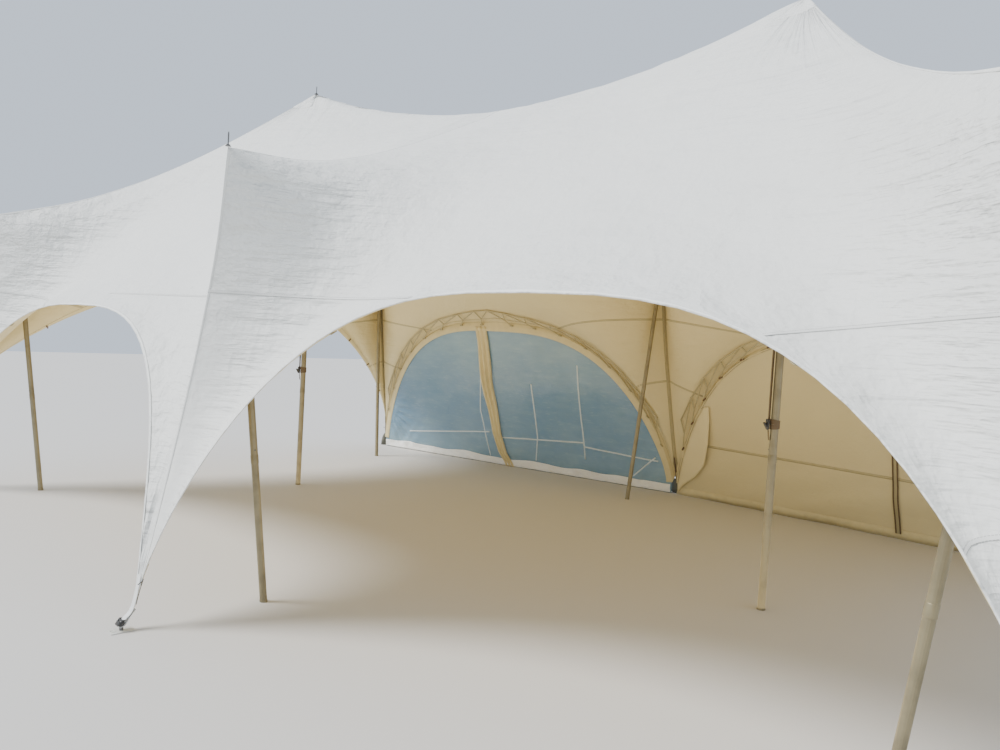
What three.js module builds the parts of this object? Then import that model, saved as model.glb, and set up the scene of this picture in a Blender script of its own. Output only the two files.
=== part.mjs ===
// Pole marquee with a scalloped stretched canopy: two king poles, six outward
// leaning side poles, fabric legs drawn down to ground anchors, a clear window
// wall and a plain wall in the two back arches.
// Frame: millimetres, +X along the ridge, +Y towards the walled back, +Z up,
// origin on the ground below the middle of the tent.

import * as THREE from 'three';
import { mergeVertices } from 'three/addons/utils/BufferGeometryUtils.js';

// Driving dimensions
const RIDGE_Y = -110;                 // the ridge stands forward of the footprint's middle
const KING_POLES = {
  left: { foot: [-2490, RIDGE_Y], height: 3925 },
  right: { foot: [2320, RIDGE_Y], height: 3780 },
};
const CORNER_LEAN = [430, 315];       // how far a corner pole's top stands out from its foot
const CORNER_REACH = [700, 810];      // how far a corner anchor stands out from the pole's foot

const CANOPY_THICKNESS = 6;
const SEAM_GAP = 1;
const TIP_SHARE = 0.045;              // the fabric ends this share of the way up from anchor to pole top

const SIDE_POLE_RADIUS = 21;
const KING_POLE_RADIUS = 25;
const POLE_SIDES = 16;
const END_CAP = { rim: 2, height: 12 };   // plastic cap on a pole's foot
const PIN_RADIUS = 6;
const TUBE_CHAMFER = 4;
const SIDE_POLE = { pinDrop: 34, tubeDrop: 90, middleSetBack: 44, cornerSetBack: 192 };
const KING_POLE = { pinDrop: 60, tubeDrop: 110 };
const SPIKE = { radius: 5, length: 75, collar: 16, point: 8 };
const SIDE_SPIKE = { base: 16, level: 12 };
const KING_SPIKE = { base: 40, level: 4 };

// Six legs, anticlockwise from the front left corner: where each pole stands, how
// far its top leans out from there, and how far out the fabric is anchored
const corner = (sideX, sideY) => ({
  lean: [CORNER_LEAN[0] * sideX, CORNER_LEAN[1] * sideY],
  reach: [CORNER_REACH[0] * sideX, CORNER_REACH[1] * sideY],
  setBack: SIDE_POLE.cornerSetBack,
});
const middle = (lean, reach) => ({ lean, reach, setBack: SIDE_POLE.middleSetBack });
const LEGS = [
  { name: 'front_left', foot: [-3500, -2150], height: 2430, ...corner(-1, -1) },
  { name: 'front_middle', foot: [230, -2320], height: 2550, ...middle([-80, -300], [-80, -735]) },
  { name: 'front_right', foot: [3500, -2150], height: 2430, ...corner(1, -1) },
  { name: 'back_right', foot: [3500, 1930], height: 2530, ...corner(1, 1) },
  { name: 'back_middle', foot: [-20, 2240], height: 2550, ...middle([50, 380], [170, 815]) },
  { name: 'back_left', foot: [-3490, 1830], height: 2530, ...corner(-1, 1) },
];

// Arch shapes: crown height, crown set in from the line between anchors, and
// the exponents of the superellipse that the hem follows
const SIDE_ARCH = { crown: 1790, inset: 495, width: 2.91, rise: 1.36, bow: 1.92 };
const LOW_SIDE_ARCH = { ...SIDE_ARCH, crown: 1670 };
const END_ARCH = { crown: 2065, inset: 490, width: 1.6, rise: 1.89, bow: 2.15 };

// Each bay runs from its leg to the next one round
const BAYS = [
  { name: 'front_left', arch: LOW_SIDE_ARCH },
  { name: 'front_right', arch: SIDE_ARCH },
  { name: 'right_end', arch: END_ARCH },
  { name: 'back_right', arch: SIDE_ARCH },
  { name: 'back_left', arch: SIDE_ARCH },
  { name: 'left_end', arch: END_ARCH },
];

// Net that finds the canopy's form, and its force densities
const BAY_STEPS = 12;
const ROWS = 12;
const TOP_ROW = 5;                    // the row that passes over the side poles
const COLUMNS = BAY_STEPS * BAYS.length;
const RIDGE_STEPS = BAY_STEPS;
const PULL = {
  panel: 1, hoop: 0.4, hoopAtHem: 0.18, legSeam: 5.9, roofSeam: 1.5, ridge: 14.4, peak: 1.18,
};
const RELAX_SWEEPS = 1500;
const OVER_RELAXATION = 1.8;
const PEAK_HOLE_REACH = 52;           // the fabric stops this far down the slope from a king's axis

// Walls in the two back arches, and what hangs on them
const WALL = {
  thickness: 4, setback: 55, shy: 30, columns: 24, rows: 6, floor: 12, footIn: 60,
  first: 2 / 24, last: 22 / 24, join: 1,
};
const DOOR_BAND = { topAt: 2420, footAt: 2190, width: 115, proud: 14, thickness: 6 };
const WALL_STRAP = { topAt: 1780, footAt: 1735, width: 50, proud: 14, thickness: 4 };
const BAND_REACH = { low: 0.02, high: 0.97 };
const SKIRT = { near: 30, far: 190, thickness: 6, lift: 0.5, first: 0.15, last: 0.85, steps: 12 };
const LACING = { row: 1.1, below: 34, radius: 4, sides: 8, steps: 44, from: 2, to: BAY_STEPS - 2 };

// Ground anchors
const PLATE = { length: 120, width: 70, thickness: 5 };
const STAKE = { radius: 14, height: 46, chamfer: 4, sides: 20, setOut: 45 };
const ANCHOR_STRAP = { width: 40, thickness: 8, clear: 7 };

const colours = {
  canopy: 0xdfe0dc, wall: 0xc9bb93, clear: 0x9fb6c4, pole: 0xa9a79c, steel: 0x8b8d8f,
  strap: 0xe6e4dc, rope: 0xb9a678, dark: 0x2c2a28,
};
const fabric = (color) => new THREE.MeshStandardMaterial({ color, roughness: 0.7, metalness: 0 });
const metal = (color) => new THREE.MeshStandardMaterial({ color, roughness: 0.4, metalness: 0.9 });
const materials = {
  canopy: fabric(colours.canopy),
  wall: fabric(colours.wall),
  clear: new THREE.MeshStandardMaterial({ color: colours.clear, roughness: 0.1, metalness: 0 }),
  pole: metal(colours.pole),
  steel: metal(colours.steel),
  strap: fabric(colours.strap),
  rope: fabric(colours.rope),
  dark: new THREE.MeshStandardMaterial({ color: colours.dark, roughness: 0.5, metalness: 0.2 }),
};

const marquee = new THREE.Group();
marquee.name = 'pole_marquee';

function addPiece(name, geometry, material) {
  const mesh = new THREE.Mesh(geometry, material);
  mesh.name = name;
  marquee.add(mesh);
  return mesh;
}

function weld(geometry) {
  for (const attribute of Object.keys(geometry.attributes)) {
    if (attribute !== 'position') geometry.deleteAttribute(attribute);
  }
  return mergeVertices(geometry, 1e-4);
}

function legPoints(leg) {
  const [footX, footY] = leg.foot;
  const top = new THREE.Vector3(footX + leg.lean[0], footY + leg.lean[1], leg.height);
  const anchor = new THREE.Vector3(footX + leg.reach[0], footY + leg.reach[1], 0);
  return {
    foot: new THREE.Vector3(footX, footY, 0),
    top,
    anchor,
    tip: anchor.clone().lerp(top, TIP_SHARE),
  };
}

const legs = LEGS.map((leg) => ({ ...leg, ...legPoints(leg) }));
const kings = Object.entries(KING_POLES).map(([name, king]) => ({
  name,
  foot: new THREE.Vector3(...king.foot, 0),
  top: new THREE.Vector3(...king.foot, king.height),
}));

// Point on a bay's hem, from 0 at its own leg to 1 at the next one
function hemPoint(bay, share) {
  const { arch } = BAYS[bay];
  const start = legs[bay].tip;
  const end = legs[(bay + 1) % legs.length].tip;
  const angle = Math.PI * (1 - share);
  const lift = Math.abs(Math.sin(angle));
  const along = Math.sign(Math.cos(angle)) * Math.abs(Math.cos(angle)) ** (2 / arch.width);
  const half = end.clone().sub(start).multiplyScalar(0.5);
  const point = start.clone().add(end).multiplyScalar(0.5).addScaledVector(half, along);
  const inward = new THREE.Vector3(-half.y, half.x, 0).normalize();
  point.addScaledVector(inward, arch.inset * lift ** arch.bow);
  point.z += (arch.crown - point.z) * lift ** (2 / arch.rise);
  return point;
}

// Which ridge node a column of the net ends on: 0 at the left king pole
function ridgeStep(column) {
  const bay = Math.floor(column / BAY_STEPS);
  const step = column % BAY_STEPS;
  const half = RIDGE_STEPS / 2;
  switch (BAYS[bay].name) {
    case 'front_left': return Math.max(0, step - half);
    case 'front_right': return Math.min(RIDGE_STEPS, half + step);
    case 'right_end': return RIDGE_STEPS;
    case 'back_right': return Math.min(RIDGE_STEPS, RIDGE_STEPS - Math.max(0, step - half));
    case 'back_left': return Math.max(0, half - step);
    default: return 0;
  }
}

// The canopy's middle surface as a relaxed net of points
function relaxCanopy() {
  const ridge = [];
  for (let step = 0; step <= RIDGE_STEPS; step += 1) {
    const node = kings[0].top.clone().lerp(kings[1].top, step / RIDGE_STEPS);
    ridge.push({ point: node, fixed: step === 0 || step === RIDGE_STEPS, links: [] });
  }
  const net = [];
  for (let column = 0; column < COLUMNS; column += 1) {
    const bay = Math.floor(column / BAY_STEPS);
    const step = column % BAY_STEPS;
    const inner = ridge[ridgeStep(column)];
    const outer = hemPoint(bay, step / BAY_STEPS);
    const nodes = [];
    for (let row = 0; row < ROWS; row += 1) {
      const point = outer.clone().lerp(inner.point, row / ROWS);
      nodes.push({ point, fixed: row === 0, links: [] });
    }
    if (step === 0) {
      nodes[TOP_ROW].point.copy(legs[bay].top);
      nodes[TOP_ROW].fixed = true;
    }
    nodes.push(inner);
    net.push(nodes);
  }
  const link = (a, b, pull) => {
    if (a === b) return;
    a.links.push([b, pull]);
    b.links.push([a, pull]);
  };
  for (let column = 0; column < COLUMNS; column += 1) {
    const next = net[(column + 1) % COLUMNS];
    const isSeam = column % BAY_STEPS === 0;
    for (let row = 1; row < ROWS; row += 1) {
      const share = Math.min(1, row / TOP_ROW);
      const pull = PULL.hoopAtHem + (PULL.hoop - PULL.hoopAtHem) * share;
      link(net[column][row], next[row], pull);
    }
    for (let row = 0; row < ROWS; row += 1) {
      const climb = Math.max(0, ((row - TOP_ROW) / (ROWS - TOP_ROW)) * 2 - 1);
      let pull = PULL.panel * PULL.peak ** climb;
      if (isSeam) pull *= row < TOP_ROW ? PULL.legSeam : PULL.roofSeam;
      link(net[column][row], net[column][row + 1], pull);
    }
  }
  for (let step = 0; step < RIDGE_STEPS; step += 1) {
    link(ridge[step], ridge[step + 1], PULL.ridge);
  }
  const free = [...net.flat(), ...ridge].filter((node, index, all) => (
    !node.fixed && all.indexOf(node) === index));
  const sum = new THREE.Vector3();
  for (let sweep = 0; sweep < RELAX_SWEEPS; sweep += 1) {
    for (const node of free) {
      let total = 0;
      sum.set(0, 0, 0);
      for (const [other, pull] of node.links) {
        sum.addScaledVector(other.point, pull);
        total += pull;
      }
      sum.divideScalar(total).sub(node.point);
      node.point.addScaledVector(sum, OVER_RELAXATION);
    }
  }
  return net.map((nodes) => nodes.map((node) => node.point.clone()));
}

const surface = relaxCanopy();

// The fabric stops short of each king pole's axis, round the spike
for (const column of surface) {
  for (const king of kings) {
    if (column[ROWS].distanceTo(king.top) < 1) {
      const outward = column[ROWS - 1].clone().sub(king.top).normalize();
      column[ROWS].addScaledVector(outward, PEAK_HOLE_REACH);
    }
  }
}

const wrapColumn = (column) => (column + COLUMNS) % COLUMNS;

function surfaceNormal(column, row) {
  const before = surface[wrapColumn(column - 1)][row];
  const after = surface[wrapColumn(column + 1)][row];
  const low = surface[wrapColumn(column)][Math.max(0, row - 1)];
  const high = surface[wrapColumn(column)][Math.min(ROWS, row + 1)];
  const normal = after.clone().sub(before).cross(high.clone().sub(low));
  return normal.normalize();
}

const canopyNormals = surface.map((nodes, column) => (
  nodes.map((node, row) => surfaceNormal(column, row))));

// Front and back panels that meet on the ridge share one normal there
for (let step = 1; step < RIDGE_STEPS; step += 1) {
  const meeting = canopyNormals.filter((nodes, column) => ridgeStep(column) === step);
  const shared = new THREE.Vector3();
  for (const nodes of meeting) shared.add(nodes[ROWS]);
  shared.normalize();
  for (const nodes of meeting) nodes[ROWS].copy(shared);
}

// Closed sheet from a grid of points and the normals to thicken it along
function sheetGeometry(points, normals, thickness) {
  const columns = points.length;
  const rows = points[0].length;
  const positions = [];
  for (const side of [0.5, -0.5]) {
    for (let column = 0; column < columns; column += 1) {
      for (let row = 0; row < rows; row += 1) {
        const corner = points[column][row].clone();
        corner.addScaledVector(normals[column][row], side * thickness);
        positions.push(corner.x, corner.y, corner.z);
      }
    }
  }
  const indices = [];
  const quad = (a, b, c, d) => indices.push(a, b, c, a, c, d);
  const at = (column, row) => column * rows + row;
  const back = columns * rows;
  for (let column = 0; column + 1 < columns; column += 1) {
    for (let row = 0; row + 1 < rows; row += 1) {
      const [a, b] = [at(column, row), at(column + 1, row)];
      const [c, d] = [at(column + 1, row + 1), at(column, row + 1)];
      quad(a, b, c, d);
      quad(back + a, back + d, back + c, back + b);
    }
  }
  for (let column = 0; column + 1 < columns; column += 1) {
    const [a, b] = [at(column, 0), at(column + 1, 0)];
    quad(a, back + a, back + b, b);
    const [c, d] = [at(column, rows - 1), at(column + 1, rows - 1)];
    quad(c, d, back + d, back + c);
  }
  for (let row = 0; row + 1 < rows; row += 1) {
    const [a, b] = [at(0, row), at(0, row + 1)];
    quad(a, b, back + b, back + a);
    const [c, d] = [at(columns - 1, row), at(columns - 1, row + 1)];
    quad(c, back + c, back + d, d);
  }
  const geometry = new THREE.BufferGeometry();
  geometry.setAttribute('position', new THREE.Float32BufferAttribute(positions, 3));
  geometry.setIndex(indices);
  return weld(geometry);
}

// One cut piece of the canopy, drawn back from its seams by the seam gap
function canopyPanel(firstColumn, lastColumn, firstRow, lastRow) {
  const points = [];
  const normals = [];
  for (let column = firstColumn; column <= lastColumn; column += 1) {
    const wrapped = wrapColumn(column);
    const rowPoints = [];
    for (let row = firstRow; row <= lastRow; row += 1) {
      rowPoints.push(surface[wrapped][row].clone());
    }
    points.push(rowPoints);
    normals.push(canopyNormals[wrapped].slice(firstRow, lastRow + 1));
  }
  const pullBack = (edge, inner) => {
    const direction = inner.clone().sub(edge).normalize();
    edge.addScaledVector(direction, SEAM_GAP);
  };
  const last = points.length - 1;
  const lastIndex = points[0].length - 1;
  const copy = points.map((nodes) => nodes.map((node) => node.clone()));
  for (let index = 0; index <= lastIndex; index += 1) {
    pullBack(points[0][index], copy[1][index]);
    pullBack(points[last][index], copy[last - 1][index]);
  }
  for (let column = 0; column <= last; column += 1) {
    if (firstRow > 0) pullBack(points[column][0], copy[column][1]);
    pullBack(points[column][lastIndex], copy[column][lastIndex - 1]);
  }
  return sheetGeometry(points, normals, CANOPY_THICKNESS);
}

BAYS.forEach((bay, index) => {
  const start = index * BAY_STEPS;
  const middle = start + BAY_STEPS / 2;
  const end = start + BAY_STEPS;
  const nextLeg = legs[(index + 1) % legs.length].name;
  addPiece(`roof_${bay.name}`, canopyPanel(start, end, TOP_ROW, ROWS), materials.canopy);
  addPiece(`leg_${legs[index].name}_right`, canopyPanel(start, middle, 0, TOP_ROW),
    materials.canopy);
  addPiece(`leg_${nextLeg}_left`, canopyPanel(middle, end, 0, TOP_ROW), materials.canopy);
});

// Solid of revolution that leans from its foot to its top, with level ends
function leaningLathe(foot, top, profile) {
  const height = top.z - foot.z;
  const geometry = new THREE.LatheGeometry(
    profile.map(([radius, level]) => new THREE.Vector2(radius, level)), POLE_SIDES);
  geometry.rotateX(Math.PI / 2);
  const shear = new THREE.Matrix4().set(
    1, 0, (top.x - foot.x) / height, foot.x,
    0, 1, (top.y - foot.y) / height, foot.y,
    0, 0, 1, foot.z,
    0, 0, 0, 1);
  geometry.applyMatrix4(shear);
  return weld(geometry);
}

// A tube in an end cap, with a pin on top that the canopy hangs from
function poleProfile(radius, tubeEnd, pinEnd) {
  const { rim, height } = END_CAP;
  return [
    [0, 0], [radius + rim, 0], [radius + rim, height], [radius, height],
    [radius, tubeEnd - TUBE_CHAMFER], [radius - TUBE_CHAMFER, tubeEnd], [PIN_RADIUS, tubeEnd],
    [PIN_RADIUS, pinEnd], [0, pinEnd],
  ];
}

// The stub of a pole's spike that stands proud of the canopy
function spikeGeometry(top, { base, level }) {
  const { radius, length, collar, point } = SPIKE;
  const profile = [
    [0, 0], [base, 0], [radius * 2, collar - 2], [radius, collar],
    [radius, length - point], [0, length],
  ];
  const foot = top.clone();
  foot.z += level;
  const tip = foot.clone();
  tip.z += length;
  return leaningLathe(foot, tip, profile);
}

// Level direction from a leg's seam into the tent, midway between its two sides
function inwardFromSeam(legIndex) {
  const column = legIndex * BAY_STEPS;
  const row = TOP_ROW - 1;
  const seam = surface[column][row];
  const inward = new THREE.Vector3();
  for (const step of [-1, 1]) {
    inward.add(surface[wrapColumn(column + step)][row].clone().sub(seam).setZ(0).normalize());
  }
  return inward.normalize();
}

legs.forEach((leg, index) => {
  const head = leg.top.clone().addScaledVector(inwardFromSeam(index), leg.setBack);
  const profile = poleProfile(
    SIDE_POLE_RADIUS, leg.height - SIDE_POLE.tubeDrop, leg.height - SIDE_POLE.pinDrop);
  addPiece(`pole_${leg.name}`, leaningLathe(leg.foot, head, profile), materials.pole);
  addPiece(`spike_${leg.name}`, spikeGeometry(leg.top, SIDE_SPIKE), materials.dark);
});
for (const king of kings) {
  const profile = poleProfile(
    KING_POLE_RADIUS, king.top.z - KING_POLE.tubeDrop, king.top.z - KING_POLE.pinDrop);
  addPiece(`king_pole_${king.name}`, leaningLathe(king.foot, king.top, profile),
    materials.pole);
  addPiece(`king_spike_${king.name}`, spikeGeometry(king.top, KING_SPIKE), materials.dark);
}

// Where a bay's opening starts, and the level directions along it and into the tent
function bayLine(bay) {
  const start = legs[bay].anchor;
  const end = legs[(bay + 1) % legs.length].anchor;
  const run = end.clone().sub(start).setZ(0).normalize();
  return { start, run, inward: new THREE.Vector3(-run.y, run.x, 0) };
}

// Point on the straight-sided hem of the relaxed net
function netHemPoint(bay, share) {
  const place = Math.min(share * BAY_STEPS, BAY_STEPS - 1e-6);
  const column = bay * BAY_STEPS + Math.floor(place);
  return surface[wrapColumn(column)][0].clone().lerp(surface[wrapColumn(column + 1)][0], place % 1);
}

// The share of a bay at which the hem has come that far along the opening
function shareAt(bay, distance) {
  const { start, run } = bayLine(bay);
  const reach = (step) => netHemPoint(bay, step / BAY_STEPS).sub(start).dot(run);
  let step = 0;
  while (reach(step + 1) < distance) step += 1;
  const [before, after] = [reach(step), reach(step + 1)];
  return (step + (distance - before) / (after - before)) / BAY_STEPS;
}

// Foot and top of a wall where it hangs just inside its hem. The wall slopes
// out to the line between the anchors, and slant moves the foot along it.
function wallColumn(bay, share, proud, slant) {
  const { start, run, inward } = bayLine(bay);
  const top = netHemPoint(bay, share);
  const step = 0.002;
  const tangent = hemPoint(bay, share + step).sub(hemPoint(bay, share - step));
  top.addScaledVector(inward.clone().cross(tangent).normalize(), WALL.shy);
  const along = top.clone().sub(start).dot(run) + slant;
  const foot = start.clone().addScaledVector(run, along);
  foot.addScaledVector(inward, WALL.footIn + proud);
  foot.z = WALL.floor;
  top.addScaledVector(inward, WALL.setback + proud);
  return [foot, top];
}

function gridNormals(points) {
  return points.map((nodes, column) => nodes.map((node, row) => {
    const before = points[Math.max(0, column - 1)][row];
    const after = points[Math.min(points.length - 1, column + 1)][row];
    const low = nodes[Math.max(0, row - 1)];
    const high = nodes[Math.min(nodes.length - 1, row + 1)];
    return after.clone().sub(before).cross(high.clone().sub(low)).normalize();
  }));
}

// Closed sheet through wall columns, from the low share of their height to the high one
function columnSheet(columns, thickness, low = 0, high = 1) {
  const points = columns.map(([foot, top]) => {
    const nodes = [];
    for (let row = 0; row <= WALL.rows; row += 1) {
      nodes.push(foot.clone().lerp(top, low + ((high - low) * row) / WALL.rows));
    }
    return nodes;
  });
  return sheetGeometry(points, gridNormals(points), thickness);
}

function wallSheet(bay, from, to, slant = () => 0) {
  const steps = Math.max(2, Math.round((to - from) * WALL.columns));
  const columns = [];
  for (let step = 0; step <= steps; step += 1) {
    const share = from + ((to - from) * step) / steps;
    columns.push(wallColumn(bay, share, 0, slant(share)));
  }
  return columnSheet(columns, WALL.thickness);
}

// A band that hangs inside a wall, from its place at the top to its place at the foot
function wallBand(bay, { topAt, footAt, width, proud, thickness }) {
  const columns = [-0.5, 0, 0.5].map((side) => (
    wallColumn(bay, shareAt(bay, topAt + side * width), proud, footAt - topAt)));
  return columnSheet(columns, thickness, BAND_REACH.low, BAND_REACH.high);
}

const bayIndex = (name) => BAYS.findIndex((bay) => bay.name === name);
const windowBay = bayIndex('back_left');
const plainBay = bayIndex('back_right');

// The window's two halves meet along the slanted band, so their feet slant with it
const bandShare = shareAt(windowBay, DOOR_BAND.topAt);
function windowSlant(share) {
  const end = share < bandShare ? WALL.first : WALL.last;
  return (DOOR_BAND.footAt - DOOR_BAND.topAt) * ((share - end) / (bandShare - end));
}
addPiece('window_right_half',
  wallSheet(windowBay, WALL.first, shareAt(windowBay, DOOR_BAND.topAt - WALL.join), windowSlant),
  materials.clear);
addPiece('window_left_half',
  wallSheet(windowBay, shareAt(windowBay, DOOR_BAND.topAt + WALL.join), WALL.last, windowSlant),
  materials.clear);
addPiece('window_door_band', wallBand(windowBay, DOOR_BAND), materials.wall);
addPiece('plain_wall', wallSheet(plainBay, WALL.first, WALL.last), materials.wall);
addPiece('plain_wall_strap', wallBand(plainBay, WALL_STRAP), materials.rope);

// The window's mud flap lies on the ground outside it
function skirtGeometry(bay) {
  const { first, last, steps, near, far, thickness, lift } = SKIRT;
  const outward = bayLine(bay).inward.negate();
  const points = [];
  for (let step = 0; step <= steps; step += 1) {
    const [foot] = wallColumn(bay, first + ((last - first) * step) / steps, 0, 0);
    foot.z = thickness / 2 + lift;
    points.push([far, near].map((reach) => foot.clone().addScaledVector(outward, reach)));
  }
  const up = points.map((nodes) => nodes.map(() => new THREE.Vector3(0, 0, 1)));
  return sheetGeometry(points, up, thickness);
}
addPiece('window_mud_flap', skirtGeometry(windowBay), materials.strap);

// Round rope along a smooth path
function ropeGeometry(points, { radius, steps, sides }) {
  const shape = new THREE.Shape();
  for (let side = 0; side < sides; side += 1) {
    const angle = (side / sides) * 2 * Math.PI;
    const [x, y] = [radius * Math.cos(angle), radius * Math.sin(angle)];
    if (side === 0) shape.moveTo(x, y);
    else shape.lineTo(x, y);
  }
  shape.closePath();
  const extrudePath = new THREE.CatmullRomCurve3(points);
  const geometry = new THREE.ExtrudeGeometry(shape, { steps, bevelEnabled: false, extrudePath });
  return weld(geometry);
}

// Lacing rope under the canopy that the walls are toggled to
function lacingPath(bay) {
  const points = [];
  for (let step = LACING.from; step <= LACING.to; step += 1) {
    const column = wrapColumn(bay * BAY_STEPS + step);
    const point = surface[column][1].clone().lerp(surface[column][2], LACING.row - 1);
    points.push(point.addScaledVector(canopyNormals[column][1], -LACING.below));
  }
  return points;
}
for (const [name, bay] of [['window', windowBay], ['plain_wall', plainBay]]) {
  addPiece(`${name}_lacing_rope`, ropeGeometry(lacingPath(bay), LACING), materials.rope);
}

// At each anchor a plate lies on the ground with the stake's head on it
function anchorGeometry() {
  const { radius, height, chamfer, sides } = STAKE;
  const [halfWidth, halfLength] = [PLATE.width / 2, PLATE.length / 2];
  const profile = [
    [0, 0], [halfWidth, 0], [halfWidth, PLATE.thickness], [radius, PLATE.thickness],
    [radius, height - chamfer], [radius - chamfer, height], [0, height],
  ];
  const geometry = new THREE.LatheGeometry(
    profile.map(([reach, level]) => new THREE.Vector2(reach, level)), sides);
  geometry.rotateX(Math.PI / 2);
  geometry.scale(1, halfLength / halfWidth, 1);
  return weld(geometry);
}

// Webbing from the stake's head up to the tip of the fabric
function anchorStrap(leg, outward) {
  const head = leg.anchor.clone().addScaledVector(outward, STAKE.setOut);
  head.z = STAKE.height;
  const upward = leg.tip.clone().sub(head);
  const length = upward.length() - 2 * ANCHOR_STRAP.clear;
  upward.normalize();
  const geometry = new THREE.BoxGeometry(ANCHOR_STRAP.width, ANCHOR_STRAP.thickness, length);
  const across = new THREE.Vector3(-outward.y, outward.x, 0);
  const turn = new THREE.Matrix4().makeBasis(across, upward.clone().cross(across), upward);
  turn.setPosition(head.addScaledVector(upward, ANCHOR_STRAP.clear + length / 2));
  geometry.applyMatrix4(turn);
  return weld(geometry);
}

for (const leg of legs) {
  const outward = leg.anchor.clone().sub(leg.foot).setZ(0).normalize();
  const anchor = addPiece(`anchor_${leg.name}`, anchorGeometry(), materials.steel);
  anchor.position.copy(leg.anchor).addScaledVector(outward, STAKE.setOut);
  anchor.rotation.z = Math.atan2(-outward.x, outward.y);
  addPiece(`anchor_strap_${leg.name}`, anchorStrap(leg, outward), materials.strap);
}

export default marquee;
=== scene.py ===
"""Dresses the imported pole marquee: canopy, walls, lacing, poles and anchors."""

import logging
import math
from collections.abc import Sequence
from dataclasses import dataclass, replace
from enum import Enum

import bmesh
import bpy
import numpy as np
from mathutils import Matrix, Vector, noise


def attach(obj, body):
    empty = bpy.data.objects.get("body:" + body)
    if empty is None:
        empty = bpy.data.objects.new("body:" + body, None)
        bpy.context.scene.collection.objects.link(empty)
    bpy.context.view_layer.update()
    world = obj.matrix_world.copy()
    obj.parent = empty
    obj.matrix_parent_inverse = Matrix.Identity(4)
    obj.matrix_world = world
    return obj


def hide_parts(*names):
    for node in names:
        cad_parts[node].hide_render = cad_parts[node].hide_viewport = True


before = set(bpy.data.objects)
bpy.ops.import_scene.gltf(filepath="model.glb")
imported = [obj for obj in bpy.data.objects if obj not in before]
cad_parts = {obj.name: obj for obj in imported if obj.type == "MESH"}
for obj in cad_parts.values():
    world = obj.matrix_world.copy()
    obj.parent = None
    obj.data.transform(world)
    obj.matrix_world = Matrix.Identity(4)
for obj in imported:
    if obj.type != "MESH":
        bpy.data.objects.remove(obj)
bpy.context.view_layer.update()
LOG = logging.getLogger("marquee")
BODY = "root"

Point = tuple[float, float, float]
Colour = tuple[float, float, float, float]
Corners = tuple[tuple[float, float], ...]

# Below this a length counts as nothing
TINY = 1e-9
# A direction that no path here starts along
ASLANT = (0.31, 0.17, 0.93)


# Layout, as the part's source has it, in metres

@dataclass(frozen=True)
class Arch:
    """One scalloped opening between two legs.

    Args:
        crown: height of the hem's highest point.
        inset: how far the crown stands in from the line between the anchors.
        width: exponent that sets how square the arch's shoulders are.
        rise: exponent of the hem's climb.
        bow: exponent of the hem's set in.
    """

    crown: float
    inset: float
    width: float
    rise: float
    bow: float


@dataclass(frozen=True)
class Leg:
    """A side pole and the fabric leg that is drawn down past it.

    Args:
        name: the leg's name in the part.
        foot: where the pole stands.
        height: height of the canopy on the pole.
        lean: how far the canopy's point on the pole stands out from its foot.
        reach: how far the fabric's anchor stands out from the pole's foot.
        seams: height of each cross seam, and how much it falls in a metre from the leg.
    """

    name: str
    foot: tuple[float, float]
    height: float
    lean: tuple[float, float]
    reach: tuple[float, float]
    seams: Corners = ((1.765, 0.07), (1.2, 0.1))


SIDE_ARCH = Arch(crown=1.79, inset=0.495, width=2.91, rise=1.36, bow=1.92)
LOW_SIDE_ARCH = replace(SIDE_ARCH, crown=1.67)
END_ARCH = Arch(crown=2.065, inset=0.49, width=1.6, rise=1.89, bow=2.15)


class Bay(Enum):
    """The six openings, anticlockwise from the front left one."""

    FRONT_LEFT = 0
    FRONT_RIGHT = 1
    RIGHT_END = 2
    BACK_RIGHT = 3
    BACK_LEFT = 4
    LEFT_END = 5


ARCHES = {
    Bay.FRONT_LEFT: LOW_SIDE_ARCH,
    Bay.FRONT_RIGHT: SIDE_ARCH,
    Bay.RIGHT_END: END_ARCH,
    Bay.BACK_RIGHT: SIDE_ARCH,
    Bay.BACK_LEFT: SIDE_ARCH,
    Bay.LEFT_END: END_ARCH,
}
CORNER_LEAN = (0.43, 0.315)
CORNER_REACH = (0.7, 0.81)


def corner_leg(name: str, foot: tuple[float, float], height: float,
               side: tuple[int, int]) -> Leg:
    """Makes a corner leg.

    Args:
        name: the leg's name in the part.
        foot: where its pole stands.
        height: height of the canopy on the pole.
        side: signs of X and Y of the way that it leans and reaches out.

    Returns:
        The leg.
    """
    lean = (CORNER_LEAN[0] * side[0], CORNER_LEAN[1] * side[1])
    reach = (CORNER_REACH[0] * side[0], CORNER_REACH[1] * side[1])
    return Leg(name, foot, height, lean, reach)


LEGS = (
    corner_leg("front_left", (-3.5, -2.15), 2.43, (-1, -1)),
    Leg("front_middle", (0.23, -2.32), 2.55, lean=(-0.08, -0.3), reach=(-0.08, -0.735),
        seams=((1.765, 0.0),)),
    corner_leg("front_right", (3.5, -2.15), 2.43, (1, -1)),
    corner_leg("back_right", (3.5, 1.93), 2.53, (1, 1)),
    Leg("back_middle", (-0.02, 2.24), 2.55, lean=(0.05, 0.38), reach=(0.17, 0.815),
        seams=((1.913, 0.09), (1.255, 0.15))),
    corner_leg("back_left", (-3.49, 1.83), 2.53, (-1, 1)),
)
KING_NAMES = ("left", "right")
KING_TOPS = np.array([(-2.49, -0.11, 3.925), (2.32, -0.11, 3.78)])
TIP_SHARE = 0.045
BAY_COUNT = len(ARCHES)


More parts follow.
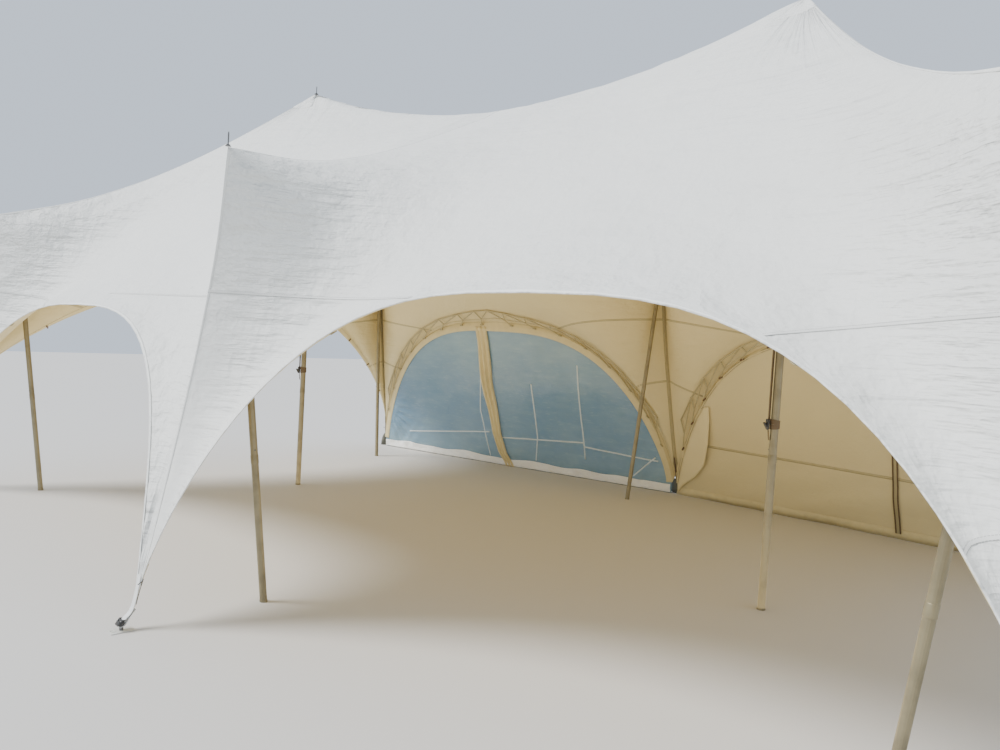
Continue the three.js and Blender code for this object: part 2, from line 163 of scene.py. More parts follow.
def leg_points(leg: Leg) -> dict[str, np.ndarray]:
    """Works out where a leg's pole, fabric tip and anchor are.

    Args:
        leg: the leg.

    Returns:
        The points foot, top, anchor and tip.
    """
    foot = np.array([leg.foot[0], leg.foot[1], 0.0])
    top = foot + (leg.lean[0], leg.lean[1], leg.height)
    anchor = foot + (leg.reach[0], leg.reach[1], 0.0)
    return {"foot": foot, "top": top, "anchor": anchor, "tip": anchor + (top - anchor) * TIP_SHARE}


LEG_POINTS = [leg_points(leg) for leg in LEGS]


def bay_ends(bay: Bay, point: str) -> tuple[np.ndarray, np.ndarray]:
    """Returns a named point of the legs at a bay's two ends."""
    first = bay.value
    return LEG_POINTS[first][point], LEG_POINTS[(first + 1) % BAY_COUNT][point]


def bay_inward(bay: Bay) -> np.ndarray:
    """Returns the level direction from a bay's opening into the tent."""
    start, end = bay_ends(bay, "anchor")
    inward = np.array([start[1] - end[1], end[0] - start[0], 0.0])
    return inward / np.linalg.norm(inward)


def hem_points(bay: Bay, share: np.ndarray) -> np.ndarray:
    """Gives points on a bay's hem.

    Args:
        bay: the bay.
        share: from 0 at the bay's own leg to 1 at the next one.

    Returns:
        One point a share.
    """
    arch = ARCHES[bay]
    start, end = bay_ends(bay, "tip")
    angle = np.pi * (1 - np.asarray(share, float))
    lift = np.abs(np.sin(angle))
    along = np.sign(np.cos(angle)) * np.abs(np.cos(angle)) ** (2 / arch.width)
    half = (end - start) / 2
    inward = np.array([-half[1], half[0], 0.0])
    inward /= np.linalg.norm(inward)
    points = (start + end) / 2 + along[..., None] * half
    points = points + (arch.inset * lift ** arch.bow)[..., None] * inward
    points[..., 2] += (arch.crown - points[..., 2]) * lift ** (2 / arch.rise)
    return points


def unit(vectors: np.ndarray) -> np.ndarray:
    """Returns vectors brought to length one along their last axis."""
    length = np.linalg.norm(vectors, axis=-1, keepdims=True)
    return vectors / np.maximum(length, TINY)


def smooth_step(value: np.ndarray, low: float, high: float) -> np.ndarray:
    """Returns 0 below low and 1 above high, with a smooth climb between."""
    share = np.clip((value - low) / (high - low), 0, 1)
    return share * share * (3 - 2 * share)


# Shader graphs

class Value:
    """A shader socket that takes part in Python arithmetic."""

    def __init__(self, graph: "Graph", socket: bpy.types.NodeSocket) -> None:
        """Keeps the socket and the graph it belongs to."""
        self.graph = graph
        self.socket = socket

    def math(self, operation: str, *others: object) -> "Value":
        """Returns the result of a Math node on this value and others."""
        inputs = dict(enumerate([self, *others]))
        node = self.graph.node("ShaderNodeMath", {"operation": operation}, inputs)
        return Value(self.graph, node.outputs[0])

    def _reflected(self, operation: str, other: float) -> "Value":
        """Returns a Math node with a plain number first."""
        node = self.graph.node("ShaderNodeMath", {"operation": operation}, {0: other, 1: self})
        return Value(self.graph, node.outputs[0])

    def __add__(self, other: object) -> "Value":
        """Returns the sum."""
        return self.math("ADD", other)

    __radd__ = __add__

    def __sub__(self, other: object) -> "Value":
        """Returns the difference."""
        return self.math("SUBTRACT", other)

    def __rsub__(self, other: float) -> "Value":
        """Returns a number less this value."""
        return self._reflected("SUBTRACT", other)

    def __mul__(self, other: object) -> "Value":
        """Returns the product."""
        return self.math("MULTIPLY", other)

    __rmul__ = __mul__

    def __truediv__(self, other: object) -> "Value":
        """Returns the quotient."""
        return self.math("DIVIDE", other)

    def band(self, centre: float, half: float) -> "Value":
        """Returns 1 within half of centre and 0 outside."""
        return (self - centre).math("ABSOLUTE").math("LESS_THAN", half)

    def crest(self) -> "Value":
        """Returns the value folded at its middle, so that it has sharp crests."""
        return 1 - (self * 2 - 1).math("ABSOLUTE")

    def ramp(self, low: float, high: float) -> "Value":
        """Returns a climb from 0 at low to 1 at high, held beyond both."""
        inputs = {"Value": self, "From Min": low, "From Max": high}
        node = self.graph.node("ShaderNodeMapRange", {"clamp": True}, inputs)
        return Value(self.graph, node.outputs[0])


class Graph:
    """The node tree of one material."""

    def __init__(self, name: str) -> None:
        """Makes an empty material of that name."""
        self.material = bpy.data.materials.new(name)
        self.material.use_nodes = True
        self.tree = self.material.node_tree
        self.tree.nodes.clear()

    def node(self, kind: str, settings: dict | None = None,
             inputs: dict | None = None) -> bpy.types.Node:
        """Adds a node.

        Args:
            kind: the node's type.
            settings: properties, set before the sockets; stops fills a colour ramp.
            inputs: values or links by socket name or number.

        Returns:
            The node.
        """
        node = self.tree.nodes.new(kind)
        for key, value in (settings or {}).items():
            if key == "stops":
                self._set_stops(node, value)
            else:
                setattr(node, key, value)
        for key, value in (inputs or {}).items():
            if isinstance(value, Value):
                self.tree.links.new(value.socket, node.inputs[key])
            else:
                node.inputs[key].default_value = value
        return node

    @staticmethod
    def _set_stops(node: bpy.types.Node, stops: list[tuple[float, Colour]]) -> None:
        """Fills a colour ramp with its stops."""
        elements = node.color_ramp.elements
        while len(elements) > 1:
            elements.remove(elements[-1])
        elements[0].position, elements[0].color = stops[0]
        for position, colour in stops[1:]:
            elements.new(position).color = colour

    def place(self) -> Value:
        """Returns the point's place in the object."""
        return Value(self, self.node("ShaderNodeTexCoord").outputs["Object"])

    def attribute(self, name: str) -> Value:
        """Returns a number that is stored on the mesh."""
        node = self.node("ShaderNodeAttribute", {"attribute_name": name})
        return Value(self, node.outputs["Fac"])

    def stretched(self, scale: Point) -> Value:
        """Returns the place with each axis scaled."""
        node = self.node("ShaderNodeMapping", None, {"Vector": self.place(), "Scale": scale})
        return Value(self, node.outputs[0])

    def point(self, *parts: object) -> Value:
        """Returns a vector made of three numbers."""
        node = self.node("ShaderNodeCombineXYZ", None, dict(enumerate(parts)))
        return Value(self, node.outputs[0])

    def noise(self, scale: float, detail: float = 3.0, where: Value | None = None,
              rough: float = 0.5) -> Value:
        """Adds a noise.

        Args:
            scale: cells a metre.
            detail: how many finer layers it has.
            where: the place it is read at, or the place in the object.
            rough: strength of the finer layers.

        Returns:
            The noise, from 0 to 1.
        """
        inputs = {"Vector": where or self.place(), "Scale": scale, "Detail": detail,
                  "Roughness": rough}
        return Value(self, self.node("ShaderNodeTexNoise", None, inputs).outputs[0])

    def crests(self, scale: float, stretch: Point, detail: float, rough: float) -> Value:
        """Returns a noise with sharp crests, drawn out by its stretch along each axis."""
        return self.noise(scale, detail, self.stretched(stretch), rough).crest()

    def mix(self, share: object, low: object, high: object) -> Value:
        """Returns a colour between low and high."""
        node = self.node("ShaderNodeMix", {"data_type": "RGBA"}, {0: share, 6: low, 7: high})
        return Value(self, node.outputs[2])

    def bump(self, height: Value, strength: float, distance: float) -> Value:
        """Returns a normal that a height turns."""
        inputs = {"Height": height, "Strength": strength, "Distance": distance}
        return Value(self, self.node("ShaderNodeBump", None, inputs).outputs[0])

    def finish(self, **sockets: object) -> bpy.types.Material:
        """Closes the graph with a Principled shader.

        Args:
            sockets: Principled sockets, with spaces written as underscores.

        Returns:
            The material.
        """
        inputs = {key.replace("_", " "): value for key, value in sockets.items()}
        shader = self.node("ShaderNodeBsdfPrincipled", None, inputs)
        output = self.node("ShaderNodeOutputMaterial")
        self.tree.links.new(shader.outputs[0], output.inputs["Surface"])
        return self.material


def rgb(red: float, green: float, blue: float) -> Colour:
    """Returns a colour for a socket."""
    return (red, green, blue, 1.0)


def tint(colour: Colour, share: float) -> Colour:
    """Returns a colour made darker or lighter by a share."""
    return (colour[0] * share, colour[1] * share, colour[2] * share, 1.0)


@dataclass(frozen=True)
class Pulls:
    """How the canopy's pulls draw creases, by distance in metres from what pulls.

    Args:
        hem: where the hem's creases start to fade and where they end.
        king: the same for a king pole's top.
        seam: the same for a leg's seam.
        seam_start: from where to where the seam's own creases come up beside it.
        pole: the same as hem for a side pole's top.
        from_hem: strength of the creases that fan up from the hem.
        upright: strength of the upright ones near the hem.
        level: strength of the level ones beside a leg's seam.
        crush: strength of the crumple round a side pole's top.
        crumple: strength of the crumple everywhere.
        drag: strength of the broad creases everywhere.
    """

    hem: tuple[float, float] = (0.15, 0.95)
    king: tuple[float, float] = (0.1, 1.5)
    seam: tuple[float, float] = (0.5, 1.7)
    seam_start: tuple[float, float] = (0.02, 0.3)
    pole: tuple[float, float] = (0.3, 1.3)
    from_hem: float = 0.3
    upright: float = 1.1
    level: float = 1.4
    crush: float = 2.4
    crumple: float = 0.2
    drag: float = 0.6

    def height(self, graph: Graph) -> Value:
        """Works out the creases' height from what is stored on the canopy's mesh.

        Args:
            graph: the canopy's material.

        Returns:
            The height.
        """
        hem, seam = graph.attribute("hem"), graph.attribute("seam")
        ring = graph.point(graph.attribute("ring_x"), graph.attribute("ring_y"), hem * 0.14)
        by_hem = 1 - hem.ramp(*self.hem)
        by_king = 1 - graph.attribute("king").ramp(*self.king)
        by_leg = (1 - seam.ramp(*self.seam)) * seam.ramp(*self.seam_start)
        by_pole = 1 - graph.attribute("pole").ramp(*self.pole)
        upward = graph.noise(4.4, 4.0, ring, rough=0.55).crest()
        upright = graph.crests(1.0, (4.2, 4.2, 0.5), 4.0, 0.55)
        level = graph.crests(1.0, (0.7, 0.7, 6.0), 5.0, 0.58)
        crush = graph.crests(1.7, (1.0, 1.0, 1.5), 5.0, 0.58)
        drag = graph.crests(1.3, (2.6, 2.6, 0.8), 4.0, 0.55)
        return (upward * (by_hem * self.from_hem + by_king) + upright * by_hem * self.upright
                + level * by_leg * self.level + crush * (by_pole * self.crush + self.crumple)
                + drag * self.drag)


@dataclass(frozen=True)
class Cloth:
    """Coated canvas with creases, faint dirt and a fine weave.

    Args:
        name: the material's name.
        colour: the clean cloth.
        dirt: colour of the faint stains.
        soil: how strongly the stains show.
        crease: height of the creases, in metres.
        gloss: roughness of the coating.
        slack: share of its loose creases that it keeps.
        pulls: what draws its other creases, if anything does.
    """

    name: str
    colour: Colour
    dirt: Colour
    soil: float = 0.35
    crease: float = 0.006
    gloss: float = 0.55
    slack: float = 1.0
    pulls: Pulls | None = None

    def material(self) -> bpy.types.Material:
        """Returns the material."""
        graph = Graph(self.name)
        cloud = graph.noise(0.55, 4.0)
        patch = graph.noise(2.7, 5.0, rough=0.62)
        speck = graph.noise(38.0, 2.0)
        stain = cloud.ramp(0.52, 0.74) * 0.5 + (patch * speck).ramp(0.34, 0.55) * 0.8
        weathered = graph.mix(stain * self.soil, self.colour, self.dirt)
        shade = graph.mix(patch.ramp(0.3, 0.7), tint(self.colour, 0.965), tint(self.colour, 1.02))
        colour = graph.mix(0.5, weathered, shade)
        creases = graph.noise(7.0, 4.0, rough=0.6) + graph.noise(31.0, 3.0) * 0.22
        if self.pulls:
            creases = creases * self.slack + self.pulls.height(graph)
        weave = graph.noise(420.0, 1.0) * 0.03
        normal = graph.bump(creases + weave, 1.0, self.crease)
        rough = self.gloss + patch * 0.14 - 0.07
        return graph.finish(Base_Color=colour, Roughness=rough, Normal=normal,
                            Sheen_Weight=0.04, Specular_IOR_Level=0.38)


@dataclass(frozen=True)
class Tape:
    """A sewn strip with a line of stitches along each edge, and painted shade along its outer edges.

    Args:
        name: the material's name.
        colour: the strip.
        thread: the stitches.
        half: half of the strip's width, in metres.
        stitch: length of one stitch and its gap.
        rib: how strongly the webbing's ribs show.
        lines: where the stitch lines run, as shares of half the width.
        needle: half of a stitch line's width.
        edge: strength of the painted shade along the strip's outer edges.
        pitch: from one rib to the next.
    """

    name: str
    colour: Colour
    thread: Colour
    half: float
    stitch: float = 0.009
    rib: float = 0.15
    lines: tuple[float, ...] = (0.82,)
    needle: float = 0.0012
    edge: float = 0.15
    pitch: float = 0.0032

    def material(self) -> bpy.types.Material:
        """Returns the material."""
        graph = Graph(self.name)
        across = graph.attribute("across").math("ABSOLUTE")
        along = graph.attribute("along")
        dash = (along / self.stitch).math("FRACT").ramp(0.66, 0.72)
        line = across.band(self.half * self.lines[0], self.needle)
        for share in self.lines[1:]:
            line = line.math("MAXIMUM", across.band(self.half * share, self.needle))
        sewn = line * (1 - dash)
        # Painted shade: the strip darkens towards the thread's colour at its outer edges
        edge = across.ramp(self.half * 0.72, self.half * 0.9) * self.edge
        cloud = graph.noise(14.0, 4.0)
        ribs = (along * (2 * math.pi / self.pitch)).math("SINE") * self.rib
        base = graph.mix(cloud.ramp(0.35, 0.75), self.colour, tint(self.colour, 0.9))
        colour = graph.mix(sewn * 0.75 + edge, base, self.thread)
        height = ribs + cloud * 0.8 - line * 0.9
        return graph.finish(Base_Color=colour, Roughness=0.62 + cloud * 0.12,
                            Normal=graph.bump(height, 0.4, 0.0015), Specular_IOR_Level=0.35)


@dataclass(frozen=True)
class Vinyl:
    """Clear window sheet with a faint blue cast, fine scratches, and painted reflection that pales
    it towards its top and its foot.

    Args:
        name: the material's name.
        colour: the cast that the sheet gives.
        veil: how much of the light behind it holds back.
        pale_haze_and_reflection: colour of its pale patches, from random haze and scratches, and
            from painted reflection towards its top and its foot.
    """

    name: str
    colour: Colour
    veil: float
    pale_haze_and_reflection: Colour = rgb(0.42, 0.57, 0.61)

    def material(self) -> bpy.types.Material:
        """Returns the material."""
        graph = Graph(self.name)
        haze = graph.noise(1.6, 4.0).ramp(0.3, 0.75)
        streak = graph.noise(3.0, 4.0, graph.stretched((1.0, 1.0, 4.0))).ramp(0.45, 0.8)
        # Painted reflection: the sheet is paler towards its top and towards its foot
        high = graph.attribute("high") + graph.noise(0.9, 2.0) * 0.5
        pale_haze_and_reflection = high.ramp(1.2, 1.75) * 0.35 + (1 - high.ramp(0.3, 0.7)) * 0.4
        pale = (pale_haze_and_reflection + haze * 0.28 + streak * 0.2).math("MINIMUM", 1.0)
        tone = graph.mix(pale, self.colour, self.pale_haze_and_reflection)
        scratch = graph.noise(60.0, 3.0, graph.stretched((0.2, 0.2, 1.0))).ramp(0.58, 0.7)
        tone = graph.mix(scratch * 0.25, tone, self.pale_haze_and_reflection)
        ripple = graph.noise(4.0, 3.0) + graph.noise(17.0, 2.0) * 0.3
        normal = graph.bump(ripple, 1.0, 0.012)
        return graph.finish(Base_Color=tone, Roughness=haze * 0.1 + 0.12, Normal=normal,
                            Alpha=self.veil + pale * 0.12, Specular_IOR_Level=0.5)


@dataclass(frozen=True)
class Metal:
    """Bare or painted metal with streaks along its length and dull patches.

    Args:
        name: the material's name.
        colour: the clean metal.
        wear: colour of the dull patches.
        gloss: roughness where it is clean.
        bare: how metallic it is.
    """

    name: str
    colour: Colour
    wear: Colour
    gloss: float = 0.36
    bare: float = 0.9

    def material(self) -> bpy.types.Material:
        """Returns the material."""
        graph = Graph(self.name)
        streak = graph.noise(60.0, 3.0, graph.stretched((1.0, 1.0, 0.03)))
        patch = graph.noise(9.0, 4.0).ramp(0.45, 0.7)
        dull = patch * 0.6 + streak * 0.35
        colour = graph.mix(dull, self.colour, self.wear)
        rough = self.gloss + dull * 0.22
        normal = graph.bump(streak + graph.noise(240.0, 2.0) * 0.3, 0.12, 0.001)
        return graph.finish(Base_Color=colour, Metallic=self.bare, Roughness=rough, Normal=normal)


@dataclass(frozen=True)
class Cordage:
    """Twisted cord, from the strands' slant along and around it.

    Args:
        name: the material's name.
        colour: the cord.
        shade: between its strands.
        lay: length of one strand's turn.
        slant: how far the strands turn with a metre across the cord, in radians.
    """

    name: str
    colour: Colour
    shade: Colour
    lay: float = 0.012
    slant: float = 900.0

    def material(self) -> bpy.types.Material:
        """Returns the material."""
        graph = Graph(self.name)
        turns = graph.attribute("along") * (2 * math.pi / self.lay)
        wave = (turns + graph.attribute("across") * self.slant).math("SINE") * 0.5 + 0.5
        fuzz = graph.noise(180.0, 2.0)
        colour = graph.mix(wave * 0.6 + fuzz * 0.4, self.shade, self.colour)
        normal = graph.bump(wave + fuzz * 0.4, 0.5, 0.0012)
        return graph.finish(Base_Color=colour, Roughness=fuzz * 0.15 + 0.7, Normal=normal)


WHITE = rgb(0.84, 0.835, 0.79)
CREAM = rgb(0.78, 0.665, 0.375)
WALL_CREAM = rgb(0.74, 0.63, 0.36)
STAIN = rgb(0.42, 0.40, 0.33)
THREAD = rgb(0.42, 0.42, 0.40)


class Finishes:
    """Every material of the tent, made once."""

    def __init__(self) -> None:
        """Builds the materials."""
        self.canopy = Cloth("canopy_outside", WHITE, STAIN, crease=0.03, slack=0.3,
                            pulls=Pulls()).material()
        self.lining = Cloth("canopy_inside", CREAM, tint(CREAM, 0.7), soil=0.3, crease=0.012,
                            slack=0.3, pulls=Pulls()).material()
        self.wall = Cloth("wall_cloth", WALL_CREAM, tint(WALL_CREAM, 0.66), soil=0.4,
                          crease=0.008).material()
        # The folded end's cloth is painted lighter than the wall, for the light that falls on it
        self.wall_fold_painted_light = Cloth("wall_cloth_fold", tint(WALL_CREAM, 1.12), tint(WALL_CREAM, 0.8),
                               soil=0.3).material()
        # The skirt's cloth is painted lighter than the canopy's white, for the light that reaches it
        # from outside
        self.skirt = Cloth("skirt_cloth", tint(WHITE, 1.18), tint(WHITE, 0.8), soil=0.3,
                           crease=0.03).material()
        self.weld = Cloth("weld_strip", rgb(0.70, 0.78, 0.80), rgb(0.5, 0.55, 0.56), soil=0.2,
                          crease=0.002, gloss=0.3).material()
        # The hem tape's edge of 0.9 paints strong shade along its edges
        self.hem = Tape("hem_tape", tint(WHITE, 1.16), THREAD, 0.022, rib=0.0, lines=(0.6,),
                        stitch=0.014, edge=0.9).material()
        self.seam = Tape("seam_tape", tint(WHITE, 0.98), rgb(0.5, 0.5, 0.47), 0.011,
                         rib=0.0, needle=0.0014, edge=0.3).material()
        self.cross_seam = Tape("cross_seam", tint(WHITE, 0.93), THREAD, 0.008, rib=0.0,
                               edge=0.3).material()
        self.inner_seam = Tape("inner_seam_tape", tint(CREAM, 0.72), tint(CREAM, 0.42), 0.011,
                               rib=0.0).material()
        self.webbing = Tape("leg_webbing", tint(CREAM, 0.62), tint(CREAM, 0.36), 0.022,
                            rib=0.6).material()
        self.pocket = Tape("leg_end_patch", rgb(0.15, 0.15, 0.12), rgb(0.06, 0.06, 0.05), 0.031,
                           rib=0.5).material()
        self.strap = Tape("anchor_webbing", rgb(0.84, 0.84, 0.81), rgb(0.5, 0.5, 0.5), 0.022,
                          rib=0.6).material()
        self.dark_strap = Tape("hanging_strap", rgb(0.15, 0.105, 0.06), rgb(0.07, 0.05, 0.03),
                               0.022, rib=0.5).material()
        self.border = Tape("wall_border", tint(CREAM, 0.97), tint(CREAM, 0.5), 0.085,
                           rib=0.0, lines=(0.9,), needle=0.0018).material()
        self.wall_border = Tape("wall_edge", WALL_CREAM, tint(WALL_CREAM, 0.5), 0.028, rib=0.0,
                                lines=(0.3,), needle=0.004, stitch=0.5, edge=0.0).material()
        self.vinyl = Vinyl("window_vinyl", rgb(0.10, 0.235, 0.375), 0.76).material()
        # The poles' tan colour is painted reflection of the cream lining on the aluminium; the
        # darker dull patches are wear
        self.aluminium = Metal("pole_aluminium", rgb(0.33, 0.285, 0.175),
                               rgb(0.22, 0.19, 0.12), 0.42, bare=0.55).material()
        self.steel = Metal("galvanised_steel", rgb(0.20, 0.20, 0.20),
                           rgb(0.10, 0.09, 0.08), 0.4).material()
        self.brass = Metal("dull_brass", rgb(0.36, 0.28, 0.15), rgb(0.22, 0.17, 0.10),
                           0.45, bare=0.6).material()
        self.black = Metal("black_plastic", rgb(0.02, 0.02, 0.02), rgb(0.07, 0.065, 0.06),
                           0.45, bare=0.0).material()
        self.rope = Cordage("lacing_cord", tint(CREAM, 0.72), tint(CREAM, 0.5)).material()
        self.tab = Metal("lacing_tab", tint(CREAM, 0.55), tint(CREAM, 0.4),
                         0.7, bare=0.0).material()
        self.toggle = Metal("toggle_wood", rgb(0.16, 0.09, 0.045), rgb(0.08, 0.045, 0.025),
                            0.55, bare=0.0).material()
        self.plate = Metal("plate_zinc", rgb(0.72, 0.72, 0.68), rgb(0.5, 0.48, 0.42),
                           0.5, bare=0.3).material()


# Shapes

def placed(spot: Sequence[float], across: Sequence[float], ahead: Sequence[float],
           up: Sequence[float]) -> Matrix:
    """Returns the place at a spot whose X, Y and Z run across, ahead and up."""
    turn = Matrix((across, ahead, up)).transposed().to_4x4()
    return Matrix.Translation(Vector(spot)) @ turn


def frames_along(path: np.ndarray, facing: np.ndarray | None = None) -> list[Matrix]:
    """Gives a frame at each point of a path, with Z along it.

    Args:
        path: the points.
        facing: the way that Y faces at each point; carried along smoothly where it is None.

    Returns:
        One matrix a point.
    """
    tangents = unit(np.gradient(path, axis=0))
    frames = []
    side = np.cross(tangents[0], ASLANT)
    for index, (point, tangent) in enumerate(zip(path, tangents)):
        if facing is not None:
            side = np.cross(facing[index], tangent)
        side = side - tangent * float(side @ tangent)
        side = side / max(np.linalg.norm(side), TINY)
        frames.append(placed(point, side, np.cross(tangent, side), tangent))
    return frames


class Shape:
    """Bodies that bmesh operators make, joined in one mesh."""

    def __init__(self) -> None:
        """Starts an empty bmesh with its two lengthwise layers."""
        self.mesh = bmesh.new()
        self.along = self.mesh.verts.layers.float.new("along")
        self.across = self.mesh.verts.layers.float.new("across")

    def grid(self, points: np.ndarray, fields: dict[str, np.ndarray] | None = None,
             merge: float = 0.0) -> "Shape":
        """Adds a sheet.

        Args:
            points: its points, by column and row; faces look along column x row.
            fields: numbers to store on the points, by name.
            merge: distance below which points are joined.

        Returns:
            The shape.
        """
        columns, rows = points.shape[:2]
        layers = {name: self.mesh.verts.layers.float.get(name)
                  or self.mesh.verts.layers.float.new(name) for name in (fields or {})}
        made = bmesh.ops.create_grid(
            self.mesh, x_segments=columns - 1, y_segments=rows - 1, size=1.0)["verts"]
        flat = points.transpose(1, 0, 2).reshape(-1, 3)
        for vertex, point in zip(made, flat):
            vertex.co = point
        for name, layer in layers.items():
            for vertex, number in zip(made, fields[name].T.reshape(-1)):
                vertex[layer] = float(number)
        if merge > 0:
            bmesh.ops.remove_doubles(self.mesh, verts=made, dist=merge)
        return self

    def sweep(self, ring: list[bmesh.types.BMVert], frames: list[Matrix],
              lengths: np.ndarray) -> "Shape":
        """Extrudes a ring that stands at the origin along frames, and caps its ends.

        Args:
            ring: the ring's points, in the XY plane.
            frames: one matrix a step.
            lengths: distance along the path at each step.

        Returns:
            The shape.
        """
        for vertex in ring:
            vertex[self.across] = vertex.co.x
            vertex[self.along] = float(lengths[0])
        edges = list({edge for vertex in ring for edge in vertex.link_edges})
        first = edges
        bmesh.ops.transform(self.mesh, matrix=frames[0], verts=ring)
        before = frames[0]
        for matrix, length in zip(frames[1:], lengths[1:]):
            made = bmesh.ops.extrude_edge_only(self.mesh, edges=edges)["geom"]
            new = [item for item in made if isinstance(item, bmesh.types.BMVert)]
            members = set(new)
            edges = [item for item in made if isinstance(item, bmesh.types.BMEdge)
                     and members.issuperset(item.verts)]
            bmesh.ops.transform(self.mesh, matrix=matrix @ before.inverted(), verts=new)
            for vertex in new:
                vertex[self.along] = float(length)
            before = matrix
        for loop in (first, edges):
            bmesh.ops.holes_fill(self.mesh, edges=loop, sides=0)
        return self

    def tube(self, path: np.ndarray, radius: float, sides: int = 8) -> "Shape":
        """Adds a round cord or rod along a path."""
        ring = bmesh.ops.create_circle(self.mesh, segments=sides, radius=radius)["verts"]
        return self.sweep(ring, frames_along(path), path_lengths(path))

    def strap(self, path: np.ndarray, facing: np.ndarray, width: float,
              thickness: float) -> "Shape":
        """Adds a flat strap along a path.

        Args:
            path: the points it runs through.
            facing: the way its face is turned at each point.
            width: of the strap.
            thickness: of the strap.

        Returns:
            The shape.
        """
        turn = Matrix.Rotation(math.pi / 4, 4, "Z")
        ring = bmesh.ops.create_circle(
            self.mesh, segments=4, radius=math.sqrt(0.5), matrix=turn)["verts"]
        bmesh.ops.scale(self.mesh, vec=(width, thickness, 1.0), verts=ring)
        return self.sweep(ring, frames_along(path, facing), path_lengths(path))

    def turned(self, profile: list[tuple[float, float]], place: Matrix,
               steps: int = 20) -> "Shape":
        """Adds a body turned about Z.

        Args:
            profile: radius and height of each corner, from one end to the other.
            place: where its foot stands.
            steps: how many sides it has.

        Returns:
            The shape.
        """
        points = [self.mesh.verts.new((radius, 0.0, level)) for radius, level in profile]
        edges = [self.mesh.edges.new(pair) for pair in zip(points, points[1:])]
        before = set(self.mesh.verts)
        bmesh.ops.spin(self.mesh, geom=points + edges, cent=(0, 0, 0), axis=(0, 0, 1),
                       angle=2 * math.pi, steps=steps, use_merge=True)
        made = [v for v in self.mesh.verts if v not in before] + [v for v in points if v.is_valid]
        bmesh.ops.remove_doubles(self.mesh, verts=made, dist=1e-6)
        made = [v for v in made if v.is_valid]
        bmesh.ops.transform(self.mesh, matrix=place, verts=made)
        return self

    def block(self, size: Point, place: Matrix, bevel: float = 0.001) -> "Shape":
        """Adds a block with bevelled edges.

        Args:
            size: of the block.
            place: of its middle.
            bevel: width of its bevelled edges.

        Returns:
            The shape.
        """
        made = bmesh.ops.create_cube(self.mesh, size=1.0)["verts"]
        bmesh.ops.scale(self.mesh, vec=size, verts=made)
        edges = list({edge for vertex in made for edge in vertex.link_edges})
        new = bmesh.ops.bevel(self.mesh, geom=edges, offset=bevel, segments=2, profile=0.5,
                              affect="EDGES", material=-1)["verts"]
        body = {v for v in made if v.is_valid} | set(new)
        bmesh.ops.transform(self.mesh, matrix=place, verts=list(body))
        return self

    def ring(self, radius: float, wire: float, place: Matrix, steps: int = 20) -> "Shape":
        """Adds a round ring of wire that lies in the place's XY plane."""
        angles = np.linspace(0, 2 * math.pi, steps + 1)[:-1]
        path = np.stack([radius * np.cos(angles), radius * np.sin(angles), 0 * angles], 1)
        return self.loop(path, wire, place)

    def loop(self, path: np.ndarray, wire: float, place: Matrix, sides: int = 6) -> "Shape":
        """Adds a closed loop of wire.

        Args:
            path: the points it runs through, in the place's XY plane.
            wire: radius of the wire.
            place: where it lies.
            sides: how many sides the wire has.

        Returns:
            The shape.
        """
        turn = Matrix.Rotation(math.pi / 2, 4, "X")
        rings = []
        count = len(path)
        for index in range(count):
            tangent = unit(path[(index + 1) % count] - path[index - 1])
            turn_to = Matrix.Rotation(math.atan2(tangent[1], tangent[0]) - math.pi / 2, 4, "Z")
            matrix = place @ Matrix.Translation(Vector(path[index])) @ turn_to @ turn
            made = bmesh.ops.create_circle(
                self.mesh, segments=sides, radius=wire, matrix=matrix)["verts"]
            rings.append(list({edge for v in made for edge in v.link_edges}))
        for index in range(count):
            pair = rings[index - 1] + rings[index]
            bmesh.ops.bridge_loops(self.mesh, edges=pair)
        return self

    def piece(self, name: str, *materials: bpy.types.Material, slot: str, sharp: float = 35.0,
              outward: bool = True, thickness: float = 0.0) -> bpy.types.Object:
        """Turns the shape into an object that rides on the tent.

        Args:
            name: the piece's name.
            materials: its finishes, in the order of the mesh's own slots.
            slot: not used.
            sharp: angle in degrees above which an edge stays sharp.
            outward: whether faces are turned outwards here.
            thickness: what a sheet is thickened by, on its inner side.

        Returns:
            The object.
        """
        if outward:
            bmesh.ops.recalc_face_normals(self.mesh, faces=self.mesh.faces)
        data = bpy.data.meshes.new(name)
        for face in self.mesh.faces:
            face.smooth = True
        self.mesh.to_mesh(data)
        self.mesh.free()
        data.set_sharp_from_angle(angle=math.radians(sharp))
        made = bpy.data.objects.new(name, data)
        bpy.context.scene.collection.objects.link(made)
        for material in materials:
            data.materials.append(material)
        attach(made, BODY)
        if thickness > 0:
            thicken(made, thickness)
        LOG.info("%s: %d faces", name, len(data.polygons))
        return made


def thicken(piece: bpy.types.Object, thickness: float, inner_slot: int = 0) -> bpy.types.Object:
    """Gives a sheet its thickness on its inner side.

    Args:
        piece: the sheet.
        thickness: of the sheet.
        inner_slot: how many slots on from the outside the inner side's finish is.

    Returns:
        The sheet.
    """
    modifier = piece.modifiers.new("thickness", "SOLIDIFY")
    modifier.thickness = thickness
    modifier.offset = -1.0
    modifier.material_offset = inner_slot
    modifier.use_rim = True
    return piece


def smoothed(piece: bpy.types.Object) -> bpy.types.Object:
    """Gives a sheet one step of smoothing, before its thickness."""
    modifier = piece.modifiers.new("smooth", "SUBSURF")
    modifier.levels = modifier.render_levels = 1
    return piece


def path_lengths(path: np.ndarray) -> np.ndarray:
    """Returns the distance along a path at each of its points."""
    steps = np.linalg.norm(np.diff(path, axis=0), axis=1)
    return np.concatenate([[0.0], np.cumsum(steps)])


